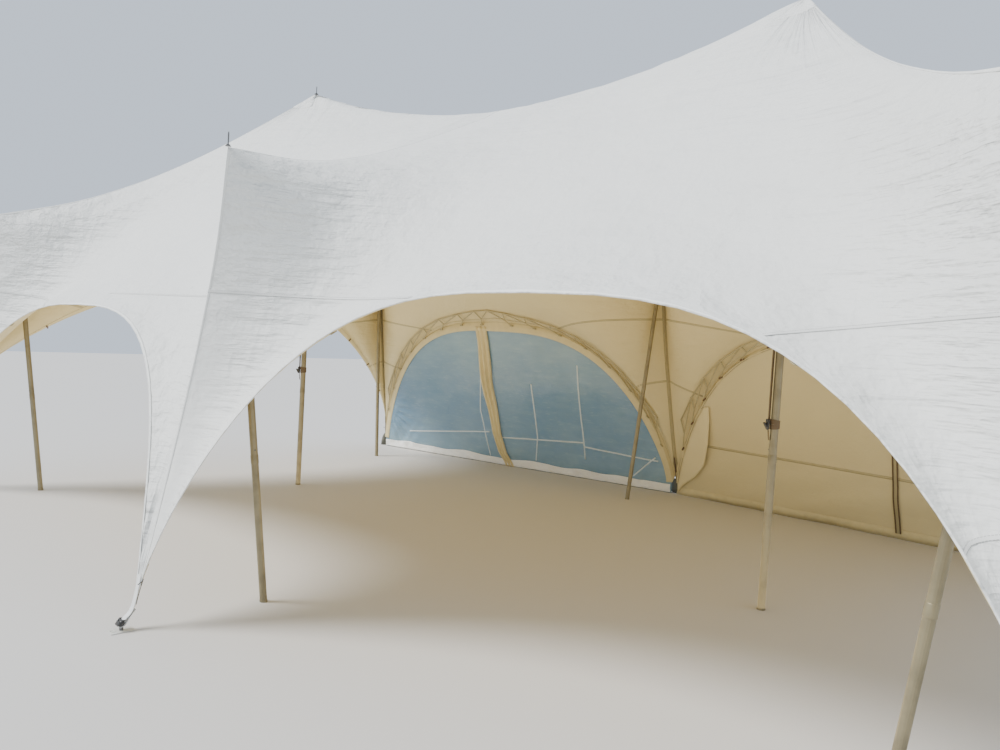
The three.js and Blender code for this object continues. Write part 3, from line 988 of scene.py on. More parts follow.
def smooth_path(points: np.ndarray, count: int) -> np.ndarray:
    """Runs a smooth curve through points.

    Args:
        points: the points to pass through.
        count: how many points the curve gets.

    Returns:
        The curve's points.
    """
    points = np.asarray(points, float)
    padded = np.vstack([2 * points[0] - points[1], points, 2 * points[-1] - points[-2]])
    place = np.linspace(0, len(points) - 1 - TINY, count)
    whole = place.astype(int)
    t = (place - whole)[:, None]
    a, b, c, d = (padded[whole + step] for step in range(4))
    return 0.5 * (2 * b + (c - a) * t + (2 * a - 5 * b + 4 * c - d) * t ** 2
                  + (3 * b - a - 3 * c + d) * t ** 3)


# Canopy

@dataclass
class CanopyNet:
    """Finds the canopy's form as a relaxed net, then draws smooth curves through it.

    Args:
        coarse: steps a bay, and rows, of the relaxed net.
        finer: how many fine steps there are to a coarse one.
        top_row_coarse: the coarse row that passes over the side poles.
        sweeps: relaxing sweeps.
        over: how far each sweep overshoots.
        panel: pull up the canopy, of one column.
        hoop: pull round the tent, of one row.
        hoop_at_hem: the same at the hem, where it is least.
        leg_seam: how many times a column's pull a leg's seam has.
        roof_seam: the same above the side poles.
        ridge: pull along the ridge.
        peak: how much the columns' pull grows towards the ridge.
        peak_hole: radius of the hole at a king pole's spike.
        roof_kink: how sharp the seam's crease is just above a side pole, up to 1.
        kink_fade: coarse rows over which that crease fades.
        pole_kink: coarse steps beside a side pole within which the rows are creased.
    """

    coarse: int = 12
    finer: int = 4
    top_row_coarse: int = 5
    sweeps: int = 420
    over: float = 1.8
    panel: float = 1.0
    hoop: float = 0.4
    hoop_at_hem: float = 0.18
    leg_seam: float = 5.9
    roof_seam: float = 1.5
    ridge: float = 14.4
    peak: float = 1.18
    peak_hole: float = 0.014
    roof_kink: float = 0.55
    kink_fade: float = 2.5
    pole_kink: float = 0.9

    def __post_init__(self) -> None:
        """Relaxes the net and refines it."""
        self.steps = self.coarse
        self.points = self._first_guess()
        self._relax()
        self._refine()

    @property
    def columns(self) -> int:
        """How many columns go round the tent."""
        return self.steps * BAY_COUNT

    @property
    def rows(self) -> int:
        """How many rows there are from hem to ridge."""
        return self.steps

    @property
    def top_row(self) -> int:
        """The row that passes over the side poles."""
        return self.rows * self.top_row_coarse // self.coarse

    def ridge_steps(self) -> np.ndarray:
        """Returns the ridge node, from 0 at the left king pole, that each column ends on."""
        half = self.steps // 2
        step = np.arange(self.steps)
        zero = np.zeros(self.steps, int)
        return np.concatenate([
            np.maximum(0, step - half), np.minimum(self.steps, half + step), zero + self.steps,
            self.steps - np.maximum(0, step - half), np.maximum(0, half - step), zero])

    def _hem(self) -> np.ndarray:
        """Returns the hem at every column."""
        share = np.arange(self.steps) / self.steps
        return np.concatenate([hem_points(bay, share) for bay in Bay])

    def _first_guess(self) -> np.ndarray:
        """Returns straight columns from the hem to the ridge."""
        along = (self.ridge_steps() / self.steps)[:, None]
        crest = KING_TOPS[0] * (1 - along) + KING_TOPS[1] * along
        up = (np.arange(self.rows + 1) / self.rows)[None, :, None]
        return self._hem()[:, None] * (1 - up) + crest[:, None] * up

    def _pulls(self) -> tuple[np.ndarray, np.ndarray]:
        """Returns the pulls round the tent and up the columns."""
        rows = np.arange(self.rows + 1)
        share = np.minimum(1, rows / self.top_row)
        hoops = np.tile(self.hoop_at_hem + (self.hoop - self.hoop_at_hem) * share,
                        (self.columns, 1))
        climb = np.maximum(0, (rows - self.top_row) / (self.rows - self.top_row) * 2 - 1)
        panels = np.tile(self.panel * self.peak ** climb, (self.columns, 1))
        seams = np.arange(0, self.columns, self.steps)
        panels[seams] *= np.where(rows < self.top_row, self.leg_seam, self.roof_seam)
        return hoops, panels

    def _relax(self) -> None:
        """Moves every free point to where its pulls balance."""
        points, rows = self.points, self.rows
        hoops, panels = self._pulls()
        ridge_of = self.ridge_steps()
        column, row = np.meshgrid(np.arange(self.columns), np.arange(rows + 1), indexing="ij")
        free = (row > 0) & (row < rows)
        seams = np.arange(0, self.columns, self.steps)
        free[seams, self.top_row] = False
        points[seams, self.top_row] = [leg["top"] for leg in LEG_POINTS]
        left = np.roll(hoops, 1, 0)[:, 1:rows, None]
        right = hoops[:, 1:rows, None]
        below = panels[:, 0:rows - 1, None]
        above = panels[:, 1:rows, None]
        total = left + right + below + above
        masks = [(free & ((column + row) % 2 == parity))[:, 1:rows, None] for parity in (0, 1)]
        balance = self._ridge_balance(ridge_of, panels[:, rows - 1])
        for _ in range(self.sweeps):
            for mask in masks:
                pulled = (left * np.roll(points, 1, 0)[:, 1:rows]
                          + right * np.roll(points, -1, 0)[:, 1:rows]
                          + below * points[:, 0:rows - 1] + above * points[:, 2:rows + 1])
                step = pulled / total - points[:, 1:rows]
                points[:, 1:rows] += np.where(mask, step * self.over, 0)
            load = points[:, rows - 1] * panels[:, rows - 1, None]
            points[:, rows] = self._ridge(balance, ridge_of, load)[ridge_of]

    def _ridge_balance(self, ridge_of: np.ndarray, pulls: np.ndarray) -> np.ndarray:
        """Returns the inverse of the ridge nodes' balance."""
        inner = self.steps - 1
        weight = np.bincount(ridge_of, pulls, self.steps + 1)[1:-1]
        matrix = np.diag(weight + 2 * self.ridge)
        matrix -= self.ridge * (np.eye(inner, k=1) + np.eye(inner, k=-1))
        return np.linalg.inv(matrix)

    def _ridge(self, balance: np.ndarray, ridge_of: np.ndarray, load: np.ndarray) -> np.ndarray:
        """Works out where the ridge nodes balance.

        Args:
            balance: the inverse of their balance.
            ridge_of: the ridge node that each column ends on.
            load: what each column's last free point pulls with.

        Returns:
            The nodes, from the left king pole's top to the right one's.
        """
        total = np.zeros((self.steps + 1, 3))
        np.add.at(total, ridge_of, load)
        inner = total[1:-1]
        inner[0] += self.ridge * KING_TOPS[0]
        inner[-1] += self.ridge * KING_TOPS[1]
        return np.vstack([KING_TOPS[0], balance @ inner, KING_TOPS[1]])

    def _refine(self) -> None:
        """Draws smooth curves through the net, creased on the legs' seams."""
        rows = np.arange(self.rows + 1)
        crease = np.zeros((self.columns, self.rows + 1))
        seams = np.arange(0, self.columns, self.steps)
        above = np.maximum(0, rows - self.top_row)
        roof = self.roof_kink * np.exp(-above / self.kink_fade)
        crease[seams] = np.where(rows <= self.top_row, 1.0, roof)
        wide = self._curve(np.concatenate([self.points, self.points[:1]]),
                           np.concatenate([crease, crease[:1]]),
                           self.points[-1], self.points[1])[:-1]
        coarse_rows = self.rows
        self.steps *= self.finer
        wide[:, 0] = self._hem()
        lines = wide.transpose(1, 0, 2)
        place = np.arange(self.columns) / self.finer
        from_seam = np.abs((place + self.coarse / 2) % self.coarse - self.coarse / 2)
        crease = np.zeros((coarse_rows + 1, self.columns))
        crease[self.top_row_coarse] = np.exp(-(from_seam / self.pole_kink) ** 2)
        crease[0] = 1.0
        crease[-1] = np.where(self._facing_column() < 0, 1.0, 0.0)
        beyond = wide[self._facing_column(), coarse_rows - 1]
        fine = self._curve(lines, crease, lines[0], beyond)
        self.points = fine.transpose(1, 0, 2).copy()

    def _facing_column(self) -> np.ndarray:
        """Returns each column's partner over the ridge, or -1 at a king pole."""
        ridge_of = self.ridge_steps()
        partner = np.full(self.columns, -1)
        for node in range(1, self.steps):
            first, second = np.flatnonzero(ridge_of == node)
            partner[first], partner[second] = second, first
        return partner

    def _curve(self, lines: np.ndarray, crease: np.ndarray, before: np.ndarray,
               after: np.ndarray) -> np.ndarray:
        """Refines lines of points along their first axis.

        Args:
            lines: the points.
            crease: from 0, smooth, to 1, kinked, at each point.
            before: what stands before the first points.
            after: what stands after the last points.

        Returns:
            The refined lines.
        """
        padded = np.concatenate([before[None], lines, after[None]])
        ahead = padded[2:] - lines
        behind = lines - padded[:-2]
        even = (ahead + behind) / 2
        kink = crease[..., None]
        leaving = (even + (ahead - even) * kink)[:-1]
        reaching = (even + (behind - even) * kink)[1:]
        start, end = lines[:-1], lines[1:]
        fine = []
        for t in np.arange(self.finer) / self.finer:
            fine.append(start * (2 * t ** 3 - 3 * t ** 2 + 1) + leaving * (t ** 3 - 2 * t ** 2 + t)
                        + end * (3 * t ** 2 - 2 * t ** 3) + reaching * (t ** 3 - t ** 2))
        woven = np.stack(fine, 1).reshape(-1, *lines.shape[1:])
        return np.concatenate([woven, lines[-1:]])

    def open_peaks(self) -> None:
        """Draws the fabric back from each king pole's spike."""
        for index, node in enumerate((0, self.steps)):
            ends = self.ridge_steps() == node
            out = unit(self.points[ends, self.rows - 1] - KING_TOPS[index])
            self.points[ends, self.rows] = KING_TOPS[index] + out * self.peak_hole


@dataclass(frozen=True)
class Strip:
    """One kind of strip that is sewn to the canopy.

    Args:
        width: of the strip.
        gap: how far it stands off the cloth's face.
        thickness: of the strip.
        inside: whether it lies on the lining.
    """

    width: float
    gap: float
    thickness: float
    inside: bool = False


SEAM_TAPE = Strip(0.016, 0.0008, 0.0014)
CROSS_SEAM = Strip(0.016, 0.0014, 0.0008)
INNER_SEAM = Strip(0.022, 0.0016, 0.001, inside=True)
LEG_WEBBING = Strip(0.044, 0.0045, 0.002, inside=True)
LEG_END_STRAP = Strip(0.018, 0.012, 0.0018, inside=True)
LACING_TAPE = Strip(0.014, 0.0016, 0.0015, inside=True)


@dataclass(frozen=True)
class Relief:
    """How far the canopy's modelled creases stand out, and how far from their cause they reach.

    Args:
        hem: height of the creases that fan up from the hem.
        hem_fade: distance from the hem in which they fade.
        leg: height of the creases beside a leg's seam.
        leg_fade: distance from the seam in which they fade.
        peak: height of the creases under a king pole's top.
        pole: height of the ripples beside a side pole's top.
        pole_fade: distance from the seam in which those fade.
        slack: height of the slow swell everywhere.
        cells: noise cells a bay.
        flat_edge: distance from hem and seam within which the cloth stays flat.
    """

    hem: float = 0.0085
    hem_fade: float = 0.42
    leg: float = 0.009
    leg_fade: float = 0.3
    peak: float = 0.007
    pole: float = 0.007
    pole_fade: float = 0.5
    slack: float = 0.010
    cells: float = 24.0
    flat_edge: float = 0.05


@dataclass
class Canopy:
    """The stretched roof with its legs, hems, seams and rings.

    Args:
        finishes: every material.
        relief: its modelled creases.
        thickness: of the cloth.
        hem_width: width of the turned hem.
        hem_proud: how far the hem stands off the cloth.
        hem_cord: radius of the edge that the hem is folded over.
        ring_shares: where the D-rings are, as shares of a bay.
        ring_from_hem: how far from the hem they are.
        ring_tab: size of a ring's tab.
        lacing_from_hem: how far from the hem the open ends' lacing tape is.
        toggle_from_hem: how far from the hem its toggles are.
        toggle: size of a toggle.
        belly: how far the cloth bellies out over the steep parts of the hems.
        belly_at: distance from the hem where it bellies out most.
        way_round: length of the ring that the hem's creases are drawn on, in the material.
        flat: not used.
        cut_area: not used.
    """

    finishes: Finishes
    relief: Relief = Relief()
    thickness: float = 0.003
    hem_width: float = 0.034
    hem_proud: float = 0.0035
    hem_cord: float = 0.0036
    ring_shares: tuple[float, ...] = (0.36, 0.5, 0.64)
    ring_from_hem: float = 0.05
    ring_tab: Point = (0.022, 0.03, 0.002)
    lacing_from_hem: float = 0.17
    toggle_from_hem: float = 0.075
    toggle: Point = (0.013, 0.044, 0.008)
    belly: float = 0.036
    belly_at: float = 0.33
    way_round: float = 25.344
    flat: tuple[float, float] = (11.9, 9.6)
    cut_area: float = 66.0

    def __post_init__(self) -> None:
        """Finds the form, then its creases and normals."""
        self.net = CanopyNet()
        self.net.open_peaks()
        self.points = self.net.points
        self.ridge_of = self.net.ridge_steps()
        self.normals = self._normals(self.points)
        self._measure()
        self.points = self.points + self.normals * self._creases()[..., None]
        self.normals = self._normals(self.points)

    def _normals(self, points: np.ndarray) -> np.ndarray:
        """Returns the outward normal at each point."""
        across = np.roll(points, -1, 0) - np.roll(points, 1, 0)
        up = np.gradient(points, axis=1)
        normals = unit(np.cross(across, up))
        shared = np.zeros((self.net.steps + 1, 3))
        np.add.at(shared, self.ridge_of, normals[:, -1])
        merged = unit(shared)
        inner = (self.ridge_of > 0) & (self.ridge_of < self.net.steps)
        normals[inner, -1] = merged[self.ridge_of[inner]]
        return normals

    def _measure(self) -> None:
        """Stores how far each point is from the hem and from the nearest leg seam."""
        points, steps = self.points, self.net.steps
        up = np.linalg.norm(np.diff(points, axis=1), axis=2)
        self.from_hem = np.concatenate([np.zeros((len(points), 1)), np.cumsum(up, 1)], 1)
        side = np.linalg.norm(np.roll(points, -1, 0) - points, axis=2)
        forward = np.zeros(self.from_hem.shape)
        for step in range(1, steps):
            forward[step::steps] = forward[step - 1::steps] + side[step - 1::steps]
        length = forward[steps - 1::steps] + side[steps - 1::steps]
        whole = np.repeat(length, steps, 0)
        self.from_seam = np.minimum(forward, whole - forward)

    def _fields(self) -> dict[str, np.ndarray]:
        """Returns what the cloth's material reads, on the closed ring of columns."""
        columns, rows = self.from_hem.shape
        angle = np.arange(columns) / columns * 2 * math.pi
        radius = self.way_round / (2 * math.pi)
        ring_x, ring_y = (np.repeat(turn(angle)[:, None] * radius, rows, 1)
                          for turn in (np.cos, np.sin))
        tops = np.array([leg["top"] for leg in LEG_POINTS])
        king, pole = (np.linalg.norm(self.points[:, :, None] - marks, axis=3).min(2)
                      for marks in (KING_TOPS, tops))
        fields = {"hem": self.from_hem, "seam": self.from_seam, "king": king, "pole": pole,
                  "ring_x": ring_x, "ring_y": ring_y}
        return {name: np.concatenate([field, field[:1]]) for name, field in fields.items()}

    def _creases(self) -> np.ndarray:
        """Returns how far each point stands out from the smooth form."""
        relief = self.relief
        columns, rows = self.from_hem.shape
        share = np.arange(columns) / self.net.steps
        level = np.arange(rows) / (rows - 1)
        top = self.net.top_row_coarse / self.net.coarse
        near_hem = np.exp(-self.from_hem / relief.hem_fade)
        near_leg = np.exp(-self.from_seam / relief.leg_fade) * (
            1 - smooth_step(level, top, top + 0.1))
        near_pole = np.exp(-((level - top) / 0.07) ** 2) * np.exp(
            -self.from_seam / relief.pole_fade)
        near_peak = smooth_step(level, 0.72, 0.97)
        edge = smooth_step(self.from_hem, 0.0, relief.flat_edge) * smooth_step(
            self.from_seam, 0.0, relief.flat_edge)
        crease = np.zeros((columns, rows))
        for column in range(columns):
            place = share[column] * relief.cells
            for row in range(1, rows):
                point = Vector(self.points[column, row])
                fan = noise.noise(Vector((place * 2.3, level[row] * 2.0, 3.1)))
                fine = noise.noise(Vector((place * 5.1, level[row] * 3.0, 8.4)))
                slack = noise.noise(point * 0.9)
                ripple = noise.noise(Vector((point.x * 1.3, point.y * 1.3, point.z * 9.0)))
                mixed = 0.6 * fan + 0.4 * fine
                crease[column, row] = (
                    relief.hem * near_hem[column, row] * mixed
                    + relief.leg * near_leg[column, row] * fine
                    + relief.peak * near_peak[row] * mixed
                    + relief.pole * near_pole[column, row] * ripple
                    + relief.slack * slack)
        # The belly is smaller on each bay's second flank
        swell = self.from_hem / self.belly_at
        turn = np.sin(2 * np.pi * share)[:, None]
        flank = turn ** 2 * (0.6 + 0.4 * turn)
        belly = self.belly * flank * swell * np.exp((1 - swell ** 2) / 2)
        return crease * edge + belly

    def at(self, column: np.ndarray, row: np.ndarray, out: float) -> np.ndarray:
        """Gives points on the cloth.

        Args:
            column: places round the tent, in columns.
            row: places up from the hem, in rows.
            out: how far outside the cloth's middle they stand.

        Returns:
            The points.
        """
        column, row = np.broadcast_arrays(np.asarray(column, float), np.asarray(row, float))
        low_row = np.clip(np.floor(row).astype(int), 0, self.net.rows - 1)
        first = np.floor(column).astype(int)
        u, v = (column - first)[..., None], (row - low_row)[..., None]
        first %= self.net.columns
        second = (first + 1) % self.net.columns
        place = 0.0
        for grid, scale in ((self.points, 1.0), (self.normals, out)):
            low = grid[first, low_row] * (1 - u) + grid[second, low_row] * u
            high = grid[first, low_row + 1] * (1 - u) + grid[second, low_row + 1] * u
            place = place + (low * (1 - v) + high * v) * scale
        return place

    def row_at(self, column: np.ndarray, distance: object) -> np.ndarray:
        """Finds the row that is some distance from the hem.

        Args:
            column: places round the tent, in columns.
            distance: from the hem, one for all or one a place.

        Returns:
            One row a place.
        """
        column, distance = np.broadcast_arrays(np.asarray(column, float),
                                               np.asarray(distance, float))
        first = np.floor(column).astype(int)
        part = (column - first)[:, None]
        count = self.net.columns
        lengths = self.from_hem[first % count] * (1 - part)
        lengths = lengths + self.from_hem[(first + 1) % count] * part
        rows = np.arange(lengths.shape[1])
        return np.array([np.interp(far, line, rows) for far, line in zip(distance, lengths)])

    def row_at_height(self, column: int, height: float) -> float:
        """Returns the row at that height, at a whole column."""
        heights = np.maximum.accumulate(self.points[column % self.net.columns, :, 2])
        return float(np.interp(height, heights, np.arange(len(heights))))

    def build(self) -> bpy.types.Object:
        """Builds the canopy with all that is sewn to it.

        Returns:
            The canopy's sheet.
        """
        out = self.points + self.normals * (self.thickness / 2)
        ring = np.concatenate([out, out[:1]])
        shape = Shape().grid(ring, self._fields(), merge=0.0004)
        canopy = shape.piece("canopy", self.finishes.canopy, self.finishes.lining,
                             slot="canopy", sharp=60.0, outward=False)
        thicken(canopy, self.thickness, inner_slot=1)
        roofs = [f"roof_{bay.name.lower()}" for bay in Bay]
        sides = [f"leg_{leg.name}_{side}" for leg in LEGS for side in ("left", "right")]
        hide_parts(*roofs, *sides)
        sewn = [self._hem(), self._hem_edge(), self._seams(), self._webbing(),
                self._cross_seams(), self._peak_patches(), self._rings(), self._end_lacing()]
        return canopy

    def _hem(self) -> bpy.types.Object:
        """Returns the wide hem, turned up on the outside."""
        columns = np.arange(self.net.columns + 1)
        across = np.array([0.0, 0.12, 0.5, 0.88, 1.0])
        lift = np.array([0.3, 1.0, 1.0, 1.0, 0.35])
        rows = [self.at(columns, self.row_at(columns, self.hem_width * share),
                        self.thickness / 2 + self.hem_proud * up)
                for share, up in zip(across, lift)]
        points = np.stack(rows, 1)
        from_tip = np.concatenate([self.from_seam[:, 0], self.from_seam[:1, 0]])
        fields = {"along": np.repeat(from_tip[:, None], len(across), 1),
                  "across": np.repeat((across[None] - 0.35) * self.hem_width, len(columns), 0)}
        shape = Shape().grid(points, fields, merge=0.0002)
        return shape.piece("canopy_hem", self.finishes.hem, slot="canopy", sharp=70.0,
                           outward=False, thickness=0.0012)

    def _hem_edge(self) -> bpy.types.Object:
        """Returns the rounded edge that the hem is folded over."""
        shape = Shape()
        for bay in Bay:
            first = bay.value * self.net.steps
            path = self.at(np.linspace(first, first + self.net.steps, self.net.steps * 2 + 1),
                           0.0, self.thickness / 2)
            shape.tube(path, self.hem_cord)
        return shape.piece("canopy_hem_edge", self.finishes.canopy, slot="canopy")

    def ribbon(self, shape: Shape, columns: np.ndarray, rows: np.ndarray,
               strip: Strip) -> None:
        """Adds a strip that lies on the cloth along a run of columns and rows.

        Args:
            shape: what it is added to.
            columns: places round the tent.
            rows: places up from the hem.
            strip: its kind.
        """
        middle = self.at(columns, rows, 0.0)
        along_columns = np.ptp(columns) > np.ptp(rows)
        nudge = (0.0, 0.5) if along_columns else (0.5, 0.0)
        low = self.at(columns - nudge[0], np.maximum(rows - nudge[1], 0), 0.0)
        high = self.at(columns + nudge[0], np.minimum(rows + nudge[1], self.net.rows), 0.0)
        unit_step = np.maximum(np.linalg.norm(high - low, axis=1), 1e-4)
        sides = np.array([-1.0, -0.5, 0.0, 0.5, 1.0]) * strip.width / 2
        out = (self.thickness / 2 + strip.gap) * (-1 if strip.inside else 1)
        lines = []
        for side in sides:
            shift = np.clip(side / unit_step, -6, 6) * 2
            low_row = np.clip(rows + shift * nudge[1], 0, self.net.rows - 1e-6)
            lines.append(self.at(columns + shift * nudge[0], low_row, out))
        points = np.stack(lines, 1)
        along, across = np.meshgrid(path_lengths(middle), sides, indexing="ij")
        if not along_columns:
            points, along, across = points.swapaxes(0, 1), along.T, across.T
        if strip.inside:
            points, along, across = points[::-1], along[::-1], across[::-1]
        shape.grid(points, {"along": along, "across": across})

    def _along_legs(self, rows: np.ndarray, strip: Strip) -> Shape:
        """Returns a strip over each of the six seams, along a run of rows."""
        shape = Shape()
        for leg in range(BAY_COUNT):
            self.ribbon(shape, np.full(rows.shape, leg * self.net.steps, float), rows, strip)
        return shape

    def _seams(self) -> bpy.types.Object:
        """Returns the tapes over the six seams, from leg tip to king pole."""
        rows = np.linspace(0.6, self.net.rows - 0.4, 140)
        return self._along_legs(rows, SEAM_TAPE).piece(
            "canopy_seam_tapes", self.finishes.seam, slot="canopy", outward=False,
            thickness=SEAM_TAPE.thickness)

    def _webbing(self) -> bpy.types.Object:
        """Returns the webbing inside each leg, from the anchor to past the pole's top."""
        rows = np.linspace(0.8, self.net.top_row + 3.0, 70)
        return self._along_legs(rows, LEG_WEBBING).piece(
            "leg_webbing", self.finishes.webbing, slot="strap", outward=False,
            thickness=LEG_WEBBING.thickness)

    def _cross_seams(self) -> bpy.types.Object:
        """Returns the level seams that cross the legs and run out to the hems."""
        outside, inside = Shape(), Shape()
        for index, leg in enumerate(LEGS):
            for height, fall in leg.seams:
                columns, rows = self._cross_seam(index * self.net.steps, height, fall)
                self.ribbon(outside, columns, rows, CROSS_SEAM)
                self.ribbon(inside, columns, rows, INNER_SEAM)
        piece = outside.piece("canopy_cross_seams", self.finishes.cross_seam, slot="canopy",
                              outward=False, thickness=CROSS_SEAM.thickness)
        lining = inside.piece("canopy_inner_seams", self.finishes.inner_seam, slot="canopy",
                              outward=False, thickness=INNER_SEAM.thickness)
        lining.parent = piece
        return piece

    def _cross_seam(self, middle: int, height: float,
                    fall: float) -> tuple[np.ndarray, np.ndarray]:
        """Follows one cross seam from hem to hem over a leg's seam.

        Args:
            middle: the leg's column.
            height: of the cross seam at the leg.
            fall: how much it falls in a metre from the leg.

        Returns:
            Its columns and rows.
        """
        places = {}
        for way in (-1, 1):
            for step in range(self.net.steps // 2):
                column = (middle + way * step) % self.net.columns
                level = height - fall * float(self.from_seam[column, self.net.top_row // 2])
                if self.points[column, 0, 2] > level - 0.05:
                    break
                places[middle + way * step] = self.row_at_height(column, level)
        columns = sorted(places)
        return np.array(columns, float), np.array([places[column] for column in columns])

    def _peak_patches(self) -> bpy.types.Object:
        """Returns the doubled cloth round each king pole's top, from its rim to the spike."""
        shape = Shape()
        steps = self.net.steps
        profile = ((0.26, 0.0005), (0.252, 0.0024), (0.13, 0.0026), (0.03, 0.0026), (0.0, 0.0022))
        for first in (4.5, 1.5):
            columns = np.arange(round(first * steps), round((first + 2) * steps) + 1)
            lengths = self.from_hem[columns % self.net.columns, -1]
            lines = []
            for down, lift in profile:
                rows = self.row_at(columns, lengths - down)
                lines.append(self.at(columns, rows, self.thickness / 2 + lift))
            shape.grid(np.stack(lines, 1))
        return shape.piece("canopy_peak_patches", self.finishes.canopy, slot="canopy",
                           outward=False, thickness=0.0012)

    def lining_place(self, column: float, distance: float, inset: float) -> Matrix:
        """Finds a place on the lining.

        Args:
            column: place round the tent.
            distance: from the hem.
            inset: from the cloth's middle into the tent.

        Returns:
            The place, with X along the hem and Z into the tent.
        """
        columns = np.array([column, column - 0.5, column + 0.5, column])
        far = np.array([distance, distance, distance, distance + 0.05])
        spot, before, after, above = self.at(columns, self.row_at(columns, far), -inset)
        along = unit(after - before)
        inward = unit(np.cross(above - spot, along))
        return placed(spot, along, np.cross(inward, along), inward)

    def _rings(self) -> bpy.types.Object:
        """Returns the small D-rings sewn inside the hem, each in its tab."""
        shape, tabs = Shape(), Shape()
        half, deep, wire = 0.017, 0.016, 0.0019
        angles = np.linspace(0, math.pi, 9)
        arc = np.stack([half * np.cos(angles), -deep * np.sin(angles), 0 * angles], 1)
        bow = np.vstack([arc, [[-0.009, 0, 0], [0.0, 0, 0], [0.009, 0, 0]]])
        for bay in Bay:
            for share in self.ring_shares:
                column = (bay.value + share) * self.net.steps
                place = self.lining_place(column, self.ring_from_hem, 0.006)
                shape.loop(bow, wire, place @ Matrix.Rotation(0.35, 4, "X"))
                tabs.block(self.ring_tab, place @ Matrix.Translation((0, 0.012, -0.001)), 0.0006)
        piece = shape.piece("hem_d_rings", self.finishes.brass, slot="steel")
        tabs.piece("hem_ring_tabs", self.finishes.tab, slot="canopy").parent = piece
        return piece

    def _end_lacing(self) -> bpy.types.Object:
        """Returns the lacing tape and toggles inside the two open ends."""
        shape, bars = Shape(), Shape()
        steps = self.net.steps
        for bay in (Bay.RIGHT_END, Bay.LEFT_END):
            columns = np.linspace(bay.value + 0.07, bay.value + 0.93, 90) * steps
            self.ribbon(shape, columns, self.row_at(columns, self.lacing_from_hem),
                        LACING_TAPE)
            for column in np.linspace(bay.value + 0.11, bay.value + 0.89, 13) * steps:
                place = self.lining_place(float(column), self.toggle_from_hem, 0.008)
                bars.block(self.toggle, place, 0.0025)
        piece = shape.piece("end_lacing_tapes", self.finishes.inner_seam, slot="canopy",
                            outward=False, thickness=LACING_TAPE.thickness)
        bars.piece("end_lacing_toggles", self.finishes.toggle, slot="rope").parent = piece
        return piece


# Walls and their lacing

# A tape on a wall is drawn in steps of about this length
TAPE_STEP = 0.03


def cloth_noise(wide: np.ndarray, high: np.ndarray, scale: tuple[float, float],
                seed: float) -> np.ndarray:
    """Works out a smooth noise over a wall.

    Args:
        wide: distances along the wall.
        high: heights on it.
        scale: cells a metre along and up.
        seed: which noise it is.

    Returns:
        One number a place, from about -1 to 1.
    """
    flat = [noise.noise(Vector((x * scale[0], z * scale[1], seed)))
            for x, z in zip(wide.reshape(-1), high.reshape(-1))]
    return np.array(flat).reshape(wide.shape)


